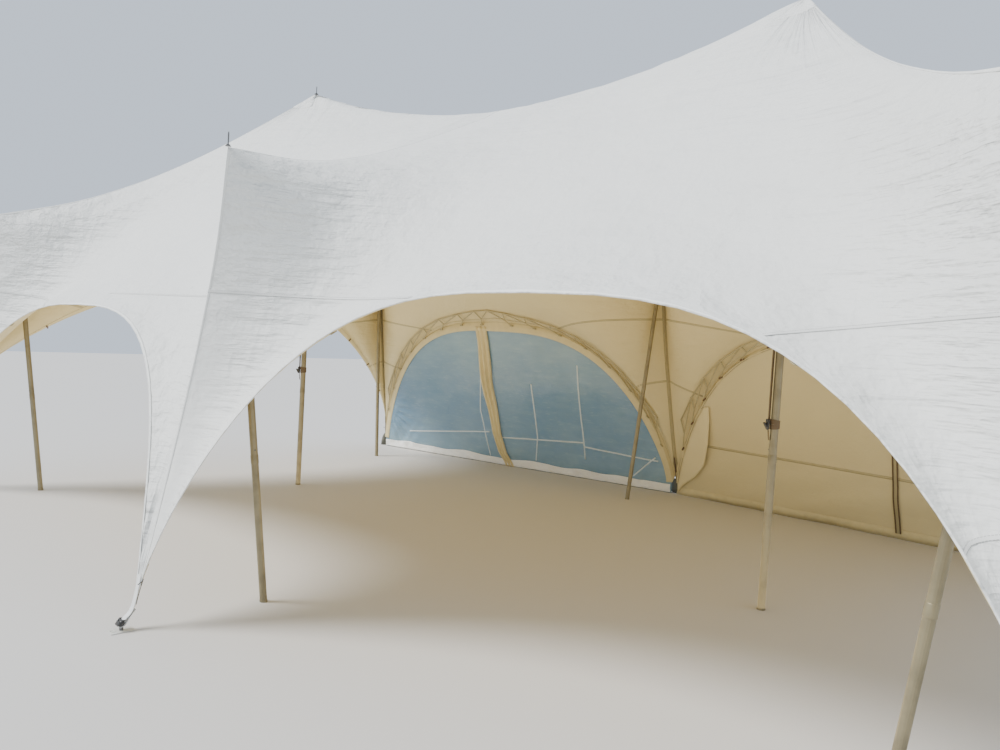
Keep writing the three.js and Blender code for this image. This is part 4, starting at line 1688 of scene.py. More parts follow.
@dataclass
class Wall:
    """One wall that hangs in an arch, and how it is laced to the canopy.

    Args:
        canopy: what it hangs from.
        finishes: every material.
        bay: the arch that it closes.
        name: the start of its pieces' names.
        first: share of the bay where it starts.
        last: share of the bay where it ends.
        setback: how far inside the hem it hangs.
        shy: how far its arched edge stays below the hem.
        floor: height of its foot.
        foot_in: how far inside the anchors its foot stands.
        border: width of the cloth border along its arched edge.
        lacing_points: number of the lacing's eyelets.
        run_from_hem: how far from the hem the lacing's run is in the middle of the bay.
        run_limit: how far from the hem it is at most, nearer the legs.
        cord: radius of the lacing's cord, and of its run along the lining.
        knot: radius of its knots.
        toggle: radius of a toggle and half of its length.
    """

    canopy: Canopy
    finishes: Finishes
    bay: Bay = Bay.BACK_RIGHT
    name: str = "wall"
    first: float = 1 / 24
    last: float = 23 / 24
    setback: float = 0.055
    shy: float = 0.03
    floor: float = 0.0015
    foot_in: float = 0.06
    border: float = 0.072
    lacing_points: int = 17
    run_from_hem: float = 0.33
    run_limit: float = 0.5
    cord: tuple[float, float] = (0.006, 0.0075)
    knot: float = 0.011
    toggle: tuple[float, float] = (0.0095, 0.021)

    def __post_init__(self) -> None:
        """Works out the wall's directions."""
        self.start, self.end = bay_ends(self.bay, "anchor")
        self.run = unit(self.end - self.start)
        self.inward = bay_inward(self.bay)
        share = np.linspace(0.01, 0.99, 260)
        rim = self.edge(share)
        self.rim = np.stack([(rim - self.start) @ self.run, rim[:, 2]], 1)
        self.rim_lengths = (share, path_lengths(rim))

    def clear_of_rim(self, wide: np.ndarray, high: np.ndarray) -> np.ndarray:
        """Returns how far places on the wall are from its arched edge."""
        places = np.stack([wide, high], -1)[..., None, :]
        return np.linalg.norm(places - self.rim, axis=-1).min(-1)

    def share_at(self, distance: float) -> float:
        """Returns the share of the bay at which the hem has come that far along."""
        tips = [float((tip - self.start) @ self.run) for tip in bay_ends(self.bay, "tip")]
        along = (distance - (tips[0] + tips[1]) / 2) / ((tips[1] - tips[0]) / 2)
        turn = math.copysign(abs(along) ** (ARCHES[self.bay].width / 2), along)
        return 1 - math.acos(turn) / math.pi

    def edge(self, share: object, down: float = 0.0, proud: float = 0.0) -> np.ndarray:
        """Gives points along the wall's arched top.

        Args:
            share: places along the bay.
            down: how far into the arch they lie.
            proud: how far inside the wall they stand.

        Returns:
            The points.
        """
        share = np.asarray(share, float)
        step = 0.004
        tangent = hem_points(self.bay, share + step) - hem_points(self.bay, share - step)
        into = unit(np.cross(self.inward, tangent))
        points = hem_points(self.bay, share) + into * (self.shy + down)
        points = points + self.inward * (self.setback + proud)
        points[..., 2] = np.maximum(points[..., 2], self.floor)
        return points

    def drift(self, share: np.ndarray, level: np.ndarray) -> np.ndarray:
        """Returns how far the cloth is drawn along the opening."""
        return np.zeros_like(share * level)

    def folds(self, wide: np.ndarray, high: np.ndarray, level: np.ndarray) -> np.ndarray:
        """Returns how far the cloth stands in from its plane."""
        return np.zeros_like(wide * high * level)

    def surface(self, share: object, level: object, proud: object = 0.0) -> np.ndarray:
        """Gives points on the wall's cloth.

        Args:
            share: places along the bay.
            level: places from 0 at the foot to 1 at the arched edge.
            proud: how far inside the cloth they stand.

        Returns:
            The points.
        """
        share, level = np.broadcast_arrays(np.asarray(share, float), np.asarray(level, float))
        top = self.edge(share)
        reach = (top - self.start) @ self.run
        foot = self.start + reach[..., None] * self.run + self.inward * self.foot_in
        foot[..., 2] = self.floor
        rise = level[..., None]
        points = foot * (1 - rise) + top * rise
        points = points + self.run * self.drift(share, level)[..., None]
        wide = (points - self.start) @ self.run
        out = self.folds(wide, points[..., 2], level) + proud
        return points + self.inward * out[..., None]

    def cloth(self, first: float, last: float, count: tuple[int, int]) -> Shape:
        """Makes the wall's cloth between two shares of the bay.

        Args:
            first: the share where it starts.
            last: the share where it ends.
            count: how many faces it has along and up.

        Returns:
            The cloth.
        """
        share = np.linspace(first, last, count[0] + 1)[:, None]
        level = np.linspace(0, 1, count[1] + 1)[None]
        points = self.surface(share, level)
        fields = {"wide": (points - self.start) @ self.run, "high": points[..., 2].copy()}
        return Shape().grid(points, fields)

    def flat(self, first: float, last: float) -> tuple[tuple[float, float], float]:
        """Measures the cloth between two shares of the bay.

        Args:
            first: the share where it starts.
            last: the share where it ends.

        Returns:
            Its width and height laid flat, and its area.
        """
        share = np.linspace(first, last, 200)
        top, foot = self.surface(share, 1.0), self.surface(share, 0.0)
        wide = (foot - self.start) @ self.run
        tall = np.linalg.norm(top - foot, axis=1)
        area = float(np.sum(np.abs(np.diff(wide)) * (tall[1:] + tall[:-1]) / 2))
        return (float(np.ptp(wide)), float(tall.max())), area

    def tape(self, shape: Shape, path: Corners, width: float, proud: float) -> None:
        """Adds a tape on the wall's inner face.

        Args:
            shape: what it is added to.
            path: its corners, each as the distance from the first anchor and the height.
            width: the tape's width.
            proud: how far it stands off the cloth.
        """
        corners = np.array(path, float)
        lengths = path_lengths(corners)
        count = max(3, round(lengths[-1] / TAPE_STEP))
        along = np.linspace(0, lengths[-1], count)
        middle = np.stack([np.interp(along, lengths, corners[:, axis]) for axis in (0, 1)], 1)
        forward = unit(np.gradient(middle, axis=0))
        aside = np.stack([-forward[:, 1], forward[:, 0]], 1)
        sides = np.array([-0.5, 0.0, 0.5]) * width
        lines = [self.surface(*self.locate(middle + aside * side), proud) for side in sides]
        fields = {"along": np.repeat(along[:, None], 3, 1), "across": np.tile(sides, (count, 1))}
        shape.grid(np.stack(lines, 1), fields)

    def locate(self, places: np.ndarray) -> tuple[np.ndarray, np.ndarray]:
        """Finds places on the wall.

        Args:
            places: each as the distance from the first anchor and the height.

        Returns:
            Their shares of the bay and their levels.
        """
        share = np.linspace(self.first, self.last, 300)
        top = self.edge(share)
        reach = (top - self.start) @ self.run
        found = []
        for wide, high in places:
            level = (high - self.floor) / (top[:, 2] - self.floor)
            under = level <= 1.0
            spots = (reach + self.drift(share, level))[under]
            found.append(np.interp(wide, spots, share[under]))
        found = np.array(found)
        return found, (places[:, 1] - self.floor) / (self.edge(found)[:, 2] - self.floor)

    def edge_border(self, material: bpy.types.Material) -> bpy.types.Object:
        """Makes the cloth border that joins the wall's arched edge to the lining.

        Args:
            material: its finish.

        Returns:
            The border.
        """
        # Distance from the hem and inset of its rows on the lining
        on_lining = ((0.128, 0.007), (0.12, 0.0095), (0.068, 0.016))
        # Distance from the arched edge and inset of its rows on the wall
        on_wall = ((0.0, 0.006), (self.border * 0.4, 0.0062), (self.border * 0.9, 0.0062),
                   (self.border, 0.003))
        share = np.linspace(0.012, 0.988, 161)
        column = (self.bay.value + share) * self.canopy.net.steps
        lines = [self.canopy.at(column, self.canopy.row_at(column, far), -inset)
                 for far, inset in on_lining]
        lines += [self.edge(share, down, proud) for down, proud in on_wall]
        points = np.stack(lines, 1)[:, ::-1]
        lengths = path_lengths(lines[4])
        across = np.array([0.0, -0.1, -0.6, -1.0, -1.7, -2.3, -2.4]) * self.border
        across += self.border / 2
        fields = {"along": np.repeat(lengths[:, None], len(lines), 1),
                  "across": np.tile(across, (len(share), 1))}
        return Shape().grid(points, fields).piece(f"{self.name}_border", material, slot="wall",
                                                  thickness=0.0022)

    def lacing(self, material: bpy.types.Material) -> list[bpy.types.Object]:
        """Makes the lacing.

        Args:
            material: the toggles' finish.

        Returns:
            The cord under the canopy with its drops to the wall, and the toggles.
        """
        canopy = self.canopy
        share, lengths = self.rim_lengths
        ends = np.interp((self.first, self.last), share, lengths) + (0.2, -0.2)
        share = np.interp(np.linspace(*ends, self.lacing_points), lengths, share)
        column = (self.bay.value + share) * canopy.net.steps
        from_hem = np.minimum(self.run_from_hem + 2.0 * (share - 0.5) ** 2, self.run_limit)
        crest = canopy.at(column, canopy.row_at(column, from_hem), -0.015)
        # The cord is taut, so its points are drawn toward their neighbours
        crest[1:-1] = (crest[:-2] + crest[1:-1] * 2 + crest[2:]) / 4
        between = (share[1:] + share[:-1]) / 2
        hooks = self.edge(between, -0.004, 0.02)
        cords, toggles = Shape(), Shape()
        drop_cord, run_cord = self.cord
        radius, half = self.toggle
        for start, end, hook in zip(crest, crest[1:], hooks):
            peak = (start + end) * 0.2 + hook * 0.6
            for path in ((start, end), (start, peak), (peak, end), (peak, hook)):
                cords.tube(np.array(path), run_cord if path[1] is end else drop_cord)
            reach = unit(end - start) * half
            shares = (-1.0, -0.5, 0.5, 1.0)
            toggles.tube(np.array([hook + reach * way for way in shares]), radius)
        for spot in crest:
            bmesh.ops.create_icosphere(cords.mesh, subdivisions=1, radius=self.knot,
                                       matrix=Matrix.Translation(Vector(spot)))
        rope = cords.piece(f"{self.name}_lacing", self.finishes.rope, slot="rope")
        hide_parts(f"{self.name}_lacing_rope")
        bars = toggles.piece(f"{self.name}_toggles", material, slot="rope")
        return [rope, bars]


@dataclass
class WindowWall(Wall):
    """The clear wall: two halves, cream border, twisted door band and white skirt.

    Args:
        band_top: how far from the first anchor the door band starts at the top.
        band_foot: how far from the first anchor it ends at the foot.
        skirt_far: how far out the skirt lies on the ground.
        skirt_rise: how high it stands on the vinyl.
        band_half: half of the door band's width where its stitches run.
        far_corner: where the folds at the far foot fan out from, as distance and height.
        level_welds: corners of each level weld, as distance and height.
        upright_welds_and_painted_streak: corners of each upright weld, and last of a slanting pale
            strip that is a painted highlight streak.
    """

    bay: Bay = Bay.BACK_LEFT
    name: str = "window"
    band_top: float = 2.42
    band_foot: float = 2.19
    skirt_far: float = 0.19
    skirt_rise: float = 0.1
    band_half: float = 0.043
    far_corner: tuple[float, float] = (4.3, 0.62)
    level_welds: tuple[Corners, ...] = (
        ((3.84, 0.266), (2.46, 0.418)), ((2.27, 0.365), (1.74, 0.40), (1.13, 0.438)),
        ((1.12, 0.39), (0.2, 0.34)))
    # The last entry, a short slanting pale strip near the foot, is a painted highlight streak, not a
    # weld
    upright_welds_and_painted_streak: tuple[Corners, ...] = (
        ((1.78, 1.08), (1.75, 0.43), (1.805, 0.13)), ((1.134, 1.35), (1.134, 0.71), (1.11, 0.24)),
        ((2.46, 1.52), (2.57, 0.68), (2.49, 0.1)), ((0.23, 0.38), (0.5, 0.13)))

    def drift(self, share: np.ndarray, level: np.ndarray) -> np.ndarray:
        """Returns the pull along the opening, greatest at the door band."""
        middle = self.share_at(self.band_top)
        end = np.where(share < middle, self.first, self.last)
        bow = np.interp(level, (0.0, 0.1, 0.24, 0.53, 1.0), (0.0, 0.07, 0.095, 0.06, 0.0))
        pull = (self.band_foot - self.band_top) * (1 - level) + bow
        return pull * (share - end) / (middle - end)

    def folds(self, wide: np.ndarray, high: np.ndarray, level: np.ndarray) -> np.ndarray:
        """Returns how far the vinyl stands in."""
        free = smooth_step(level, 0.0, 0.12)
        free *= smooth_step(self.clear_of_rim(wide, high), self.border * 0.8, 0.24)
        wave = cloth_noise(wide, high, (1.3, 1.7), 4.2) * 0.022
        far = np.exp(-((wide - 3.95) / 0.4) ** 2) * np.exp(-((high - 0.4) / 0.4) ** 2)
        near = np.exp(-((wide - 0.25) / 0.4) ** 2) * np.exp(-high / 0.4)
        back, up = self.far_corner[0] - wide, high - self.far_corner[1]
        corner = np.hypot(back, up)
        rays = np.sin(np.arctan2(up, back) * 26 + wide * 2)
        fan = rays * smooth_step(corner, 0.05, 0.2) * smooth_step(1.1 - corner, 0.0, 0.7)
        pull = cloth_noise(wide + high * 0.9, high - wide * 0.3, (9.0, 1.2), 9.7)
        fine = cloth_noise(wide, high, (5.0, 3.2), 1.9) * 0.007
        return (wave + pull * (far + near) * 0.024 + fan * far * 0.014 + fine) * free

    def build(self) -> None:
        """Builds the window wall and what is on it."""
        middle = self.share_at(self.band_top)
        sewn = [self.edge_border(self.finishes.border), self._band(), self._skirt(), *self._welds(),
                *self.lacing(self.finishes.tab)]
        for side, first, last, owned in (("right", self.first, middle, sewn),
                                         ("left", middle, self.last, [])):
            sheet = self.cloth(first, last, (84, 56)).piece(
                f"window_{side}_vinyl", self.finishes.vinyl, slot="clear", thickness=0.0012)
            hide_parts(f"window_{side}_half")
            size, area = self.flat(first, last)

    def _welds(self) -> list[bpy.types.Object]:
        """Returns the pale welded strips across and down the vinyl, with one slanting pale strip
        that is a painted highlight streak.
        """
        strong, faint = Shape(), Shape()
        for path in self.level_welds:
            self.tape(strong, path, 0.016, 0.0028)
        for path in self.upright_welds_and_painted_streak:
            self.tape(faint, path, 0.015, 0.0022)
        return [shape.piece(name, self.finishes.weld, slot="clear", thickness=0.0012)
                for shape, name in ((strong, "window_level_welds"), (faint, "window_upright_welds"))]

    def _band(self) -> bpy.types.Object:
        """Returns the cloth band over the halves' join, half twisted on its way down."""
        level = np.linspace(0.0, 0.985, 60)
        half = np.interp(level, (0.0, 0.25, 0.55, 1.0), (0.062, 0.066, 0.07, 0.085))
        centre = self.surface(self.share_at(self.band_top), level)
        twist = np.exp(-((level - 0.6) / 0.16) ** 2) * 0.75
        aside = self.run * np.cos(twist)[:, None] + self.inward * np.sin(twist)[:, None]
        across = np.linspace(-1, 1, 15)
        lines = []
        for place in across:
            fold = 0.012 * (1 + math.cos(place * 2.7 * math.pi)) * (1 - 0.3 * abs(place))
            out = 0.014 + half * np.sin(twist) + fold
            lines.append(centre + aside * (place * half)[:, None] + self.inward * out[:, None])
        points = np.stack(lines, 0)
        along = np.tile(path_lengths(centre), (len(across), 1))
        fields = {"along": along, "across": across[:, None] * self.band_half * np.ones_like(along)}
        piece = Shape().grid(points, fields).piece("window_band", self.finishes.border, slot="wall",
                                                   thickness=0.002)
        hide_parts("window_door_band")
        return piece

    def _skirt(self) -> bpy.types.Object:
        """Returns the white skirt from the vinyl's foot out over the ground, its cloth painted
        lighter for the light that reaches it from outside.
        """
        share = np.linspace(0.06, 0.95, 190)
        on_vinyl = ((0.009, 1.0), (0.012, 0.8), (0.014, 0.5), (0.018, 0.2), (0.022, 0.0))
        on_ground = ((-0.05, 0.03), (-0.1, 0.03), (-0.15, 0.028), (-self.skirt_far, 0.02))
        foot = self.surface(share, 0.0)
        wide = (foot - self.start) @ self.run
        rise = self.skirt_rise + 0.028 * cloth_noise(wide, wide * 0, (3.0, 1.0), 2.2)
        tall = self.edge(share)[:, 2]
        lines = []
        for index, (reach, height) in enumerate(on_vinyl + on_ground):
            crumple = cloth_noise(wide, wide * 0 + index * 0.35, (11.0, 1.0), 5.5)
            if index < len(on_vinyl):
                level = rise * height / tall
                lines.append(self.surface(share, level, reach + np.abs(crumple) * 0.012))
                continue
            line = foot + self.inward * (reach + crumple * 0.008)[:, None]
            line[:, 2] = rise * height + 0.004 + np.abs(crumple) * 0.018
            lines.append(line)
        piece = Shape().grid(np.stack(lines[::-1], 1)).piece(
            "window_skirt", self.finishes.skirt, slot="strap")
        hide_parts("window_mud_flap")
        return thicken(smoothed(piece), 0.0015)


@dataclass
class PlainWall(Wall):
    """The cloth wall with its cross seam, folded end, foot band and hanging strap.

    Args:
        strap_top: how far from the first anchor the strap hangs at the top.
        strap_foot: how far from the first anchor it hangs at the foot.
        seam_line: corners of its cross seam, as distance and height.
        foot_line: ends of the band along its foot.
        fold_line: corners of the folded end's free edge.
    """

    bay: Bay = Bay.BACK_RIGHT
    name: str = "plain_wall"
    border: float = 0.016
    strap_top: float = 1.78
    strap_foot: float = 1.735
    seam_line: Corners = ((3.86, 0.6), (2.9, 0.588), (1.8, 0.565), (0.5, 0.53))
    foot_line: Corners = ((4.02, 0.05), (0.16, 0.05))
    fold_line: Corners = (
        (4.03, 0.02), (3.93, 0.125), (3.77, 0.24), (3.65, 0.39), (3.595, 0.62), (3.575, 0.88),
        (3.575, 1.02))

    def folds(self, wide: np.ndarray, high: np.ndarray, level: np.ndarray) -> np.ndarray:
        """Returns how far the cloth stands in."""
        free = smooth_step(self.clear_of_rim(wide, high), 0.02, 0.2)
        wave = cloth_noise(wide, high, (1.1, 0.8), 14.2) * 0.026
        lean = cloth_noise(wide * 0.55 + high * 1.9, wide * 0.5 - high * 0.4, (2.6, 1.0), 3.3)
        drag = lean * 0.02 * (1 - smooth_step(high, 0.35, 0.75))
        foot = np.exp(-high / 0.12) * cloth_noise(wide, high * 0, (2.4, 1.0), 7.1) * 0.05
        return (wave + drag + foot) * free

    def build(self) -> None:
        """Builds the plain wall and what is on it."""
        trim, band = Shape(), Shape()
        self.tape(trim, self.seam_line, 0.026, 0.0024)
        self.tape(band, self.foot_line, 0.084, 0.003)
        seam = trim.piece("plain_wall_seam", self.finishes.inner_seam, slot="wall",
                          thickness=0.001)
        foot = band.piece("plain_wall_foot_band", self.finishes.border, slot="wall",
                          thickness=0.0012)
        sewn = [self.edge_border(self.finishes.wall_border), seam, foot, self._fold(), self._strap(),
                *self.lacing(self.finishes.toggle)]
        sheet = self.cloth(self.first, self.last, (150, 70)).piece(
            "plain_wall_cloth", self.finishes.wall, slot="wall", thickness=0.0018)
        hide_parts("plain_wall")
        size, area = self.flat(self.first, self.last)

    def _fold(self) -> bpy.types.Object:
        """Returns the spare cloth at the wall's end, folded forward over it, in cloth painted
        lighter for the light that falls on it.
        """
        free = np.array(self.fold_line)
        high = np.linspace(free[0, 1], free[-1, 1], 40)
        share = np.linspace(0.5, 0.985, 300)
        rim = self.edge(share, 0.03)
        rim_wide = (rim - self.start) @ self.run
        hidden = np.interp(high, rim[::-1, 2], rim_wide[::-1])
        shown = np.interp(high, free[:, 1], free[:, 0])
        lines = []
        profile = ((0.0, 0.009), (0.2, 0.022), (0.45, 0.034), (0.7, 0.045), (0.88, 0.052),
                   (0.97, 0.05), (1.0, 0.042), (0.97, 0.033), (0.9, 0.028))
        for part, out in profile:
            wide = hidden * (1 - part) + shown * part
            spots = self.surface(*self.locate(np.stack([wide, high], 1)), 0.0)
            flare = 0.4 + 0.6 * np.minimum((hidden - shown) / 0.25, 1.0)
            roll = 0.008 * np.sin(high * 9 + part * 3)
            lines.append(spots + self.inward * (out * flare + roll * part)[:, None])
        piece = Shape().grid(np.stack(lines, 1)).piece(
            "plain_wall_fold", self.finishes.wall_fold_painted_light, slot="wall")
        return thicken(smoothed(piece), 0.0018)

    def _strap(self) -> bpy.types.Object:
        """Returns the loose strap, two dark edges with a paler web between."""
        level = np.linspace(0.03, 0.97, 40)
        shape, web = Shape(), Shape()
        shift = self.strap_foot - self.strap_top
        centre = self.surface(self.share_at(self.strap_top), level)
        sway = shift * (1 - level) + 0.008 * np.sin(level * 7.0) * (1 - level)
        facing = np.tile(self.inward, (len(level), 1))
        for side, width, target in ((-0.019, 0.013, shape), (0.0, 0.028, web),
                                    (0.019, 0.013, shape)):
            proud = 0.014 if side else 0.010
            path = centre + self.run * (sway + side)[:, None] + self.inward * proud
            target.strap(path, facing, width, 0.002)
        piece = shape.piece("plain_wall_hanging_strap", self.finishes.dark_strap, slot="rope")
        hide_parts("plain_wall_strap")
        web.piece("plain_wall_strap_web", self.finishes.webbing, slot="rope").parent = piece
        return piece


# Poles, spikes and anchors

@dataclass
class Poles:
    """The six side poles and two king poles, with their fittings.

    Args:
        finishes: every material.
        side_radius: of a side pole.
        king_radius: of a king pole.
        side_joint: height of the joint of a side pole's two tubes.
        king_joint: height of the joint of a king pole's two tubes.
        spike_radius: of a pin through the canopy.
        side_washer: radius of the washer on a side pole's pin.
        king_washer: radius of the washer on a king pole's pin.
        buckle_height: height of the buckle on a king pole's strap.
        strap_side: the way from a king pole to its strap.
        strap_size: width and thickness of that strap.
        hoop_size: width and thickness of the hoops that tie it to the pole.
        buckle: size of its buckle.
        lever: size of the buckle's lever.
    """

    finishes: Finishes
    side_radius: float = 0.021
    king_radius: float = 0.025
    side_joint: float = 0.86
    king_joint: float = 0.98
    spike_radius: float = 0.005
    side_washer: float = 0.016
    king_washer: float = 0.019
    buckle_height: float = 1.17
    strap_side: Point = (-0.79, -0.61, 0.0)
    strap_size: tuple[float, float] = (0.018, 0.0022)
    hoop_size: tuple[float, float] = (0.03, 0.0024)
    buckle: Point = (0.04, 0.062, 0.014)
    lever: Point = (0.034, 0.05, 0.008)

    def build(self) -> None:
        """Dresses the poles and adds their fittings."""
        for leg in LEGS:
            dress(f"pole_{leg.name}", self.finishes.aluminium)
        for name in KING_NAMES:
            dress(f"king_pole_{name}", self.finishes.aluminium)
        self._joints()
        self._spikes()
        for index, name in enumerate(KING_NAMES):
            self._king_strap(index, name)

    @staticmethod
    def _place(node: str, height: float) -> Matrix:
        """Finds a place on a pole's axis.

        Args:
            node: the pole's solid, whose own points give the axis.
            height: of the place.

        Returns:
            The place, with Z along the pole.
        """
        points = np.array([vertex.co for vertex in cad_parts[node].data.vertices])
        foot = points[points[:, 2] < 0.001].mean(0)
        head = points[points[:, 2] > points[:, 2].max() - 0.001].mean(0)
        along = (head - foot) / (head[2] - foot[2])
        turn = Vector(along).to_track_quat("Z", "Y").to_matrix().to_4x4()
        return Matrix.Translation(Vector(foot + along * height)) @ turn

    def _joints(self) -> None:
        """Makes the thin joint of each pole's two tubes, with its snap button."""
        joints, buttons = Shape(), Shape()
        poles = [(f"pole_{leg.name}", self.side_radius, self.side_joint) for leg in LEGS]
        poles += [(f"king_pole_{name}", self.king_radius, self.king_joint) for name in KING_NAMES]
        for node, radius, height in poles:
            outer = radius + 0.0012
            profile = [(radius * 0.98, -0.05), (outer, -0.048), (outer, -0.002),
                       (radius + 0.0002, 0.0), (radius * 0.98, 0.001)]
            joints.turned(profile, self._place(node, height), 28)
            side = Matrix.Translation((radius + 0.0008, 0.0, 0.03))
            tilt = Matrix.Rotation(math.pi / 2, 4, "Y")
            dome = [(0.0, 0.004), (0.003, 0.0034), (0.0046, 0.001), (0.0046, -0.002)]
            buttons.turned(dome, self._place(node, height) @ side @ tilt, 12)
        joints.piece("pole_joints", self.finishes.aluminium, slot="pole")
        buttons.piece("pole_snap_buttons", self.finishes.steel, slot="steel")

    def _spikes(self) -> None:
        """Makes the pins that stand through the canopy, each with its washer and nut."""
        tops = [(f"spike_{leg.name}", points["top"], self.side_washer, 0.012)
                for leg, points in zip(LEGS, LEG_POINTS)]
        tops += [(f"king_spike_{name}", top, self.king_washer, 0.004)
                 for name, top in zip(KING_NAMES, KING_TOPS)]
        for node, top, washer, level in tops:
            shape = Shape()
            base = Matrix.Translation(Vector(top) + Vector((0, 0, level - 0.006)))
            pin = self.spike_radius
            shape.turned([(0.0, 0.0), (washer, 0.0), (washer, 0.0025), (pin * 1.2, 0.0035)],
                         base, 24)
            shape.turned([(0.0, 0.0025), (pin * 2.1, 0.0025), (pin * 2.1, 0.0095),
                          (pin * 1.7, 0.0105), (pin, 0.0105)], base, 6)
            shape.turned([(pin * 0.8, 0.0), (pin * 0.8, 0.066), (pin * 0.66, 0.074),
                          (pin * 0.3, 0.079), (0.0, 0.0805)], base, 14)
            piece = shape.piece(node.replace("spike", "pin"), self.finishes.steel, slot="spike")
            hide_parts(node)

    def _king_strap(self, index: int, name: str) -> None:
        """Makes the doubled strap beside a king pole, with its tail and buckle.

        Args:
            index: the king pole's place in KING_TOPS.
            name: the king pole's name.
        """
        top = KING_TOPS[index]
        foot = np.array([top[0], top[1], 0.0])
        aside = unit(np.array(self.strap_side))
        radius = self.king_radius
        buckle = self.buckle_height
        away = radius + 0.003
        end = top[2] - 0.16
        shape = Shape()
        # Height and distance from the pole along the near run, the far run and the tail
        runs = (((buckle, 0.007), (buckle + 0.4, 0.008), (2.2, 0.006), (3.0, 0.003), (end, 0.0)),
                ((buckle, 0.013), (buckle + 0.4, 0.015), (2.2, 0.012), (3.0, 0.008),
                 (end, 0.004)),
                ((buckle - 0.1, 0.004), (buckle - 0.05, 0.01), (buckle, 0.012)))
        for run in runs:
            path = foot + aside * (away + np.array([reach for _, reach in run]))[:, None]
            path[:, 2] = [height for height, _ in run]
            line = smooth_path(path, 60)
            shape.strap(line, np.tile(aside, (len(line), 1)), *self.strap_size)
        angles = np.linspace(0, 2 * math.pi, 25)
        for height, rise in ((buckle - 0.012, 0.004), (buckle + 0.014, -0.004)):
            hoop = np.stack([(radius + 0.004) * np.cos(angles), (radius + 0.004) * np.sin(angles),
                             rise * np.sin(angles + 0.6)], 1)
            shape.strap(hoop + foot + (0, 0, height), unit(hoop * (1, 1, 0)), *self.hoop_size)
        shape.piece(f"king_{name}_strap", self.finishes.dark_strap, slot="strap")
        metal = Shape()
        side = Vector(aside)
        middle = Vector(foot) + side * (away + 0.017) + Vector((0, 0, buckle))
        place = placed(middle, (-side.y, side.x, 0), (0, 0, 1), side)
        metal.block(self.buckle, place, 0.003)
        lever = place @ Matrix.Translation((0.004, -0.012, 0.012)) @ Matrix.Rotation(0.5, 4, "X")
        metal.block(self.lever, lever, 0.002)
        metal.piece(f"king_{name}_buckle", self.finishes.black, slot="steel")


def leg_directions(points: dict[str, np.ndarray]) -> tuple[np.ndarray, np.ndarray]:
    """Returns the level ways out along a leg and across it."""
    outward = unit((points["anchor"] - points["foot"]) * (1, 1, 0))
    return outward, np.array([-outward[1], outward[0], 0.0])


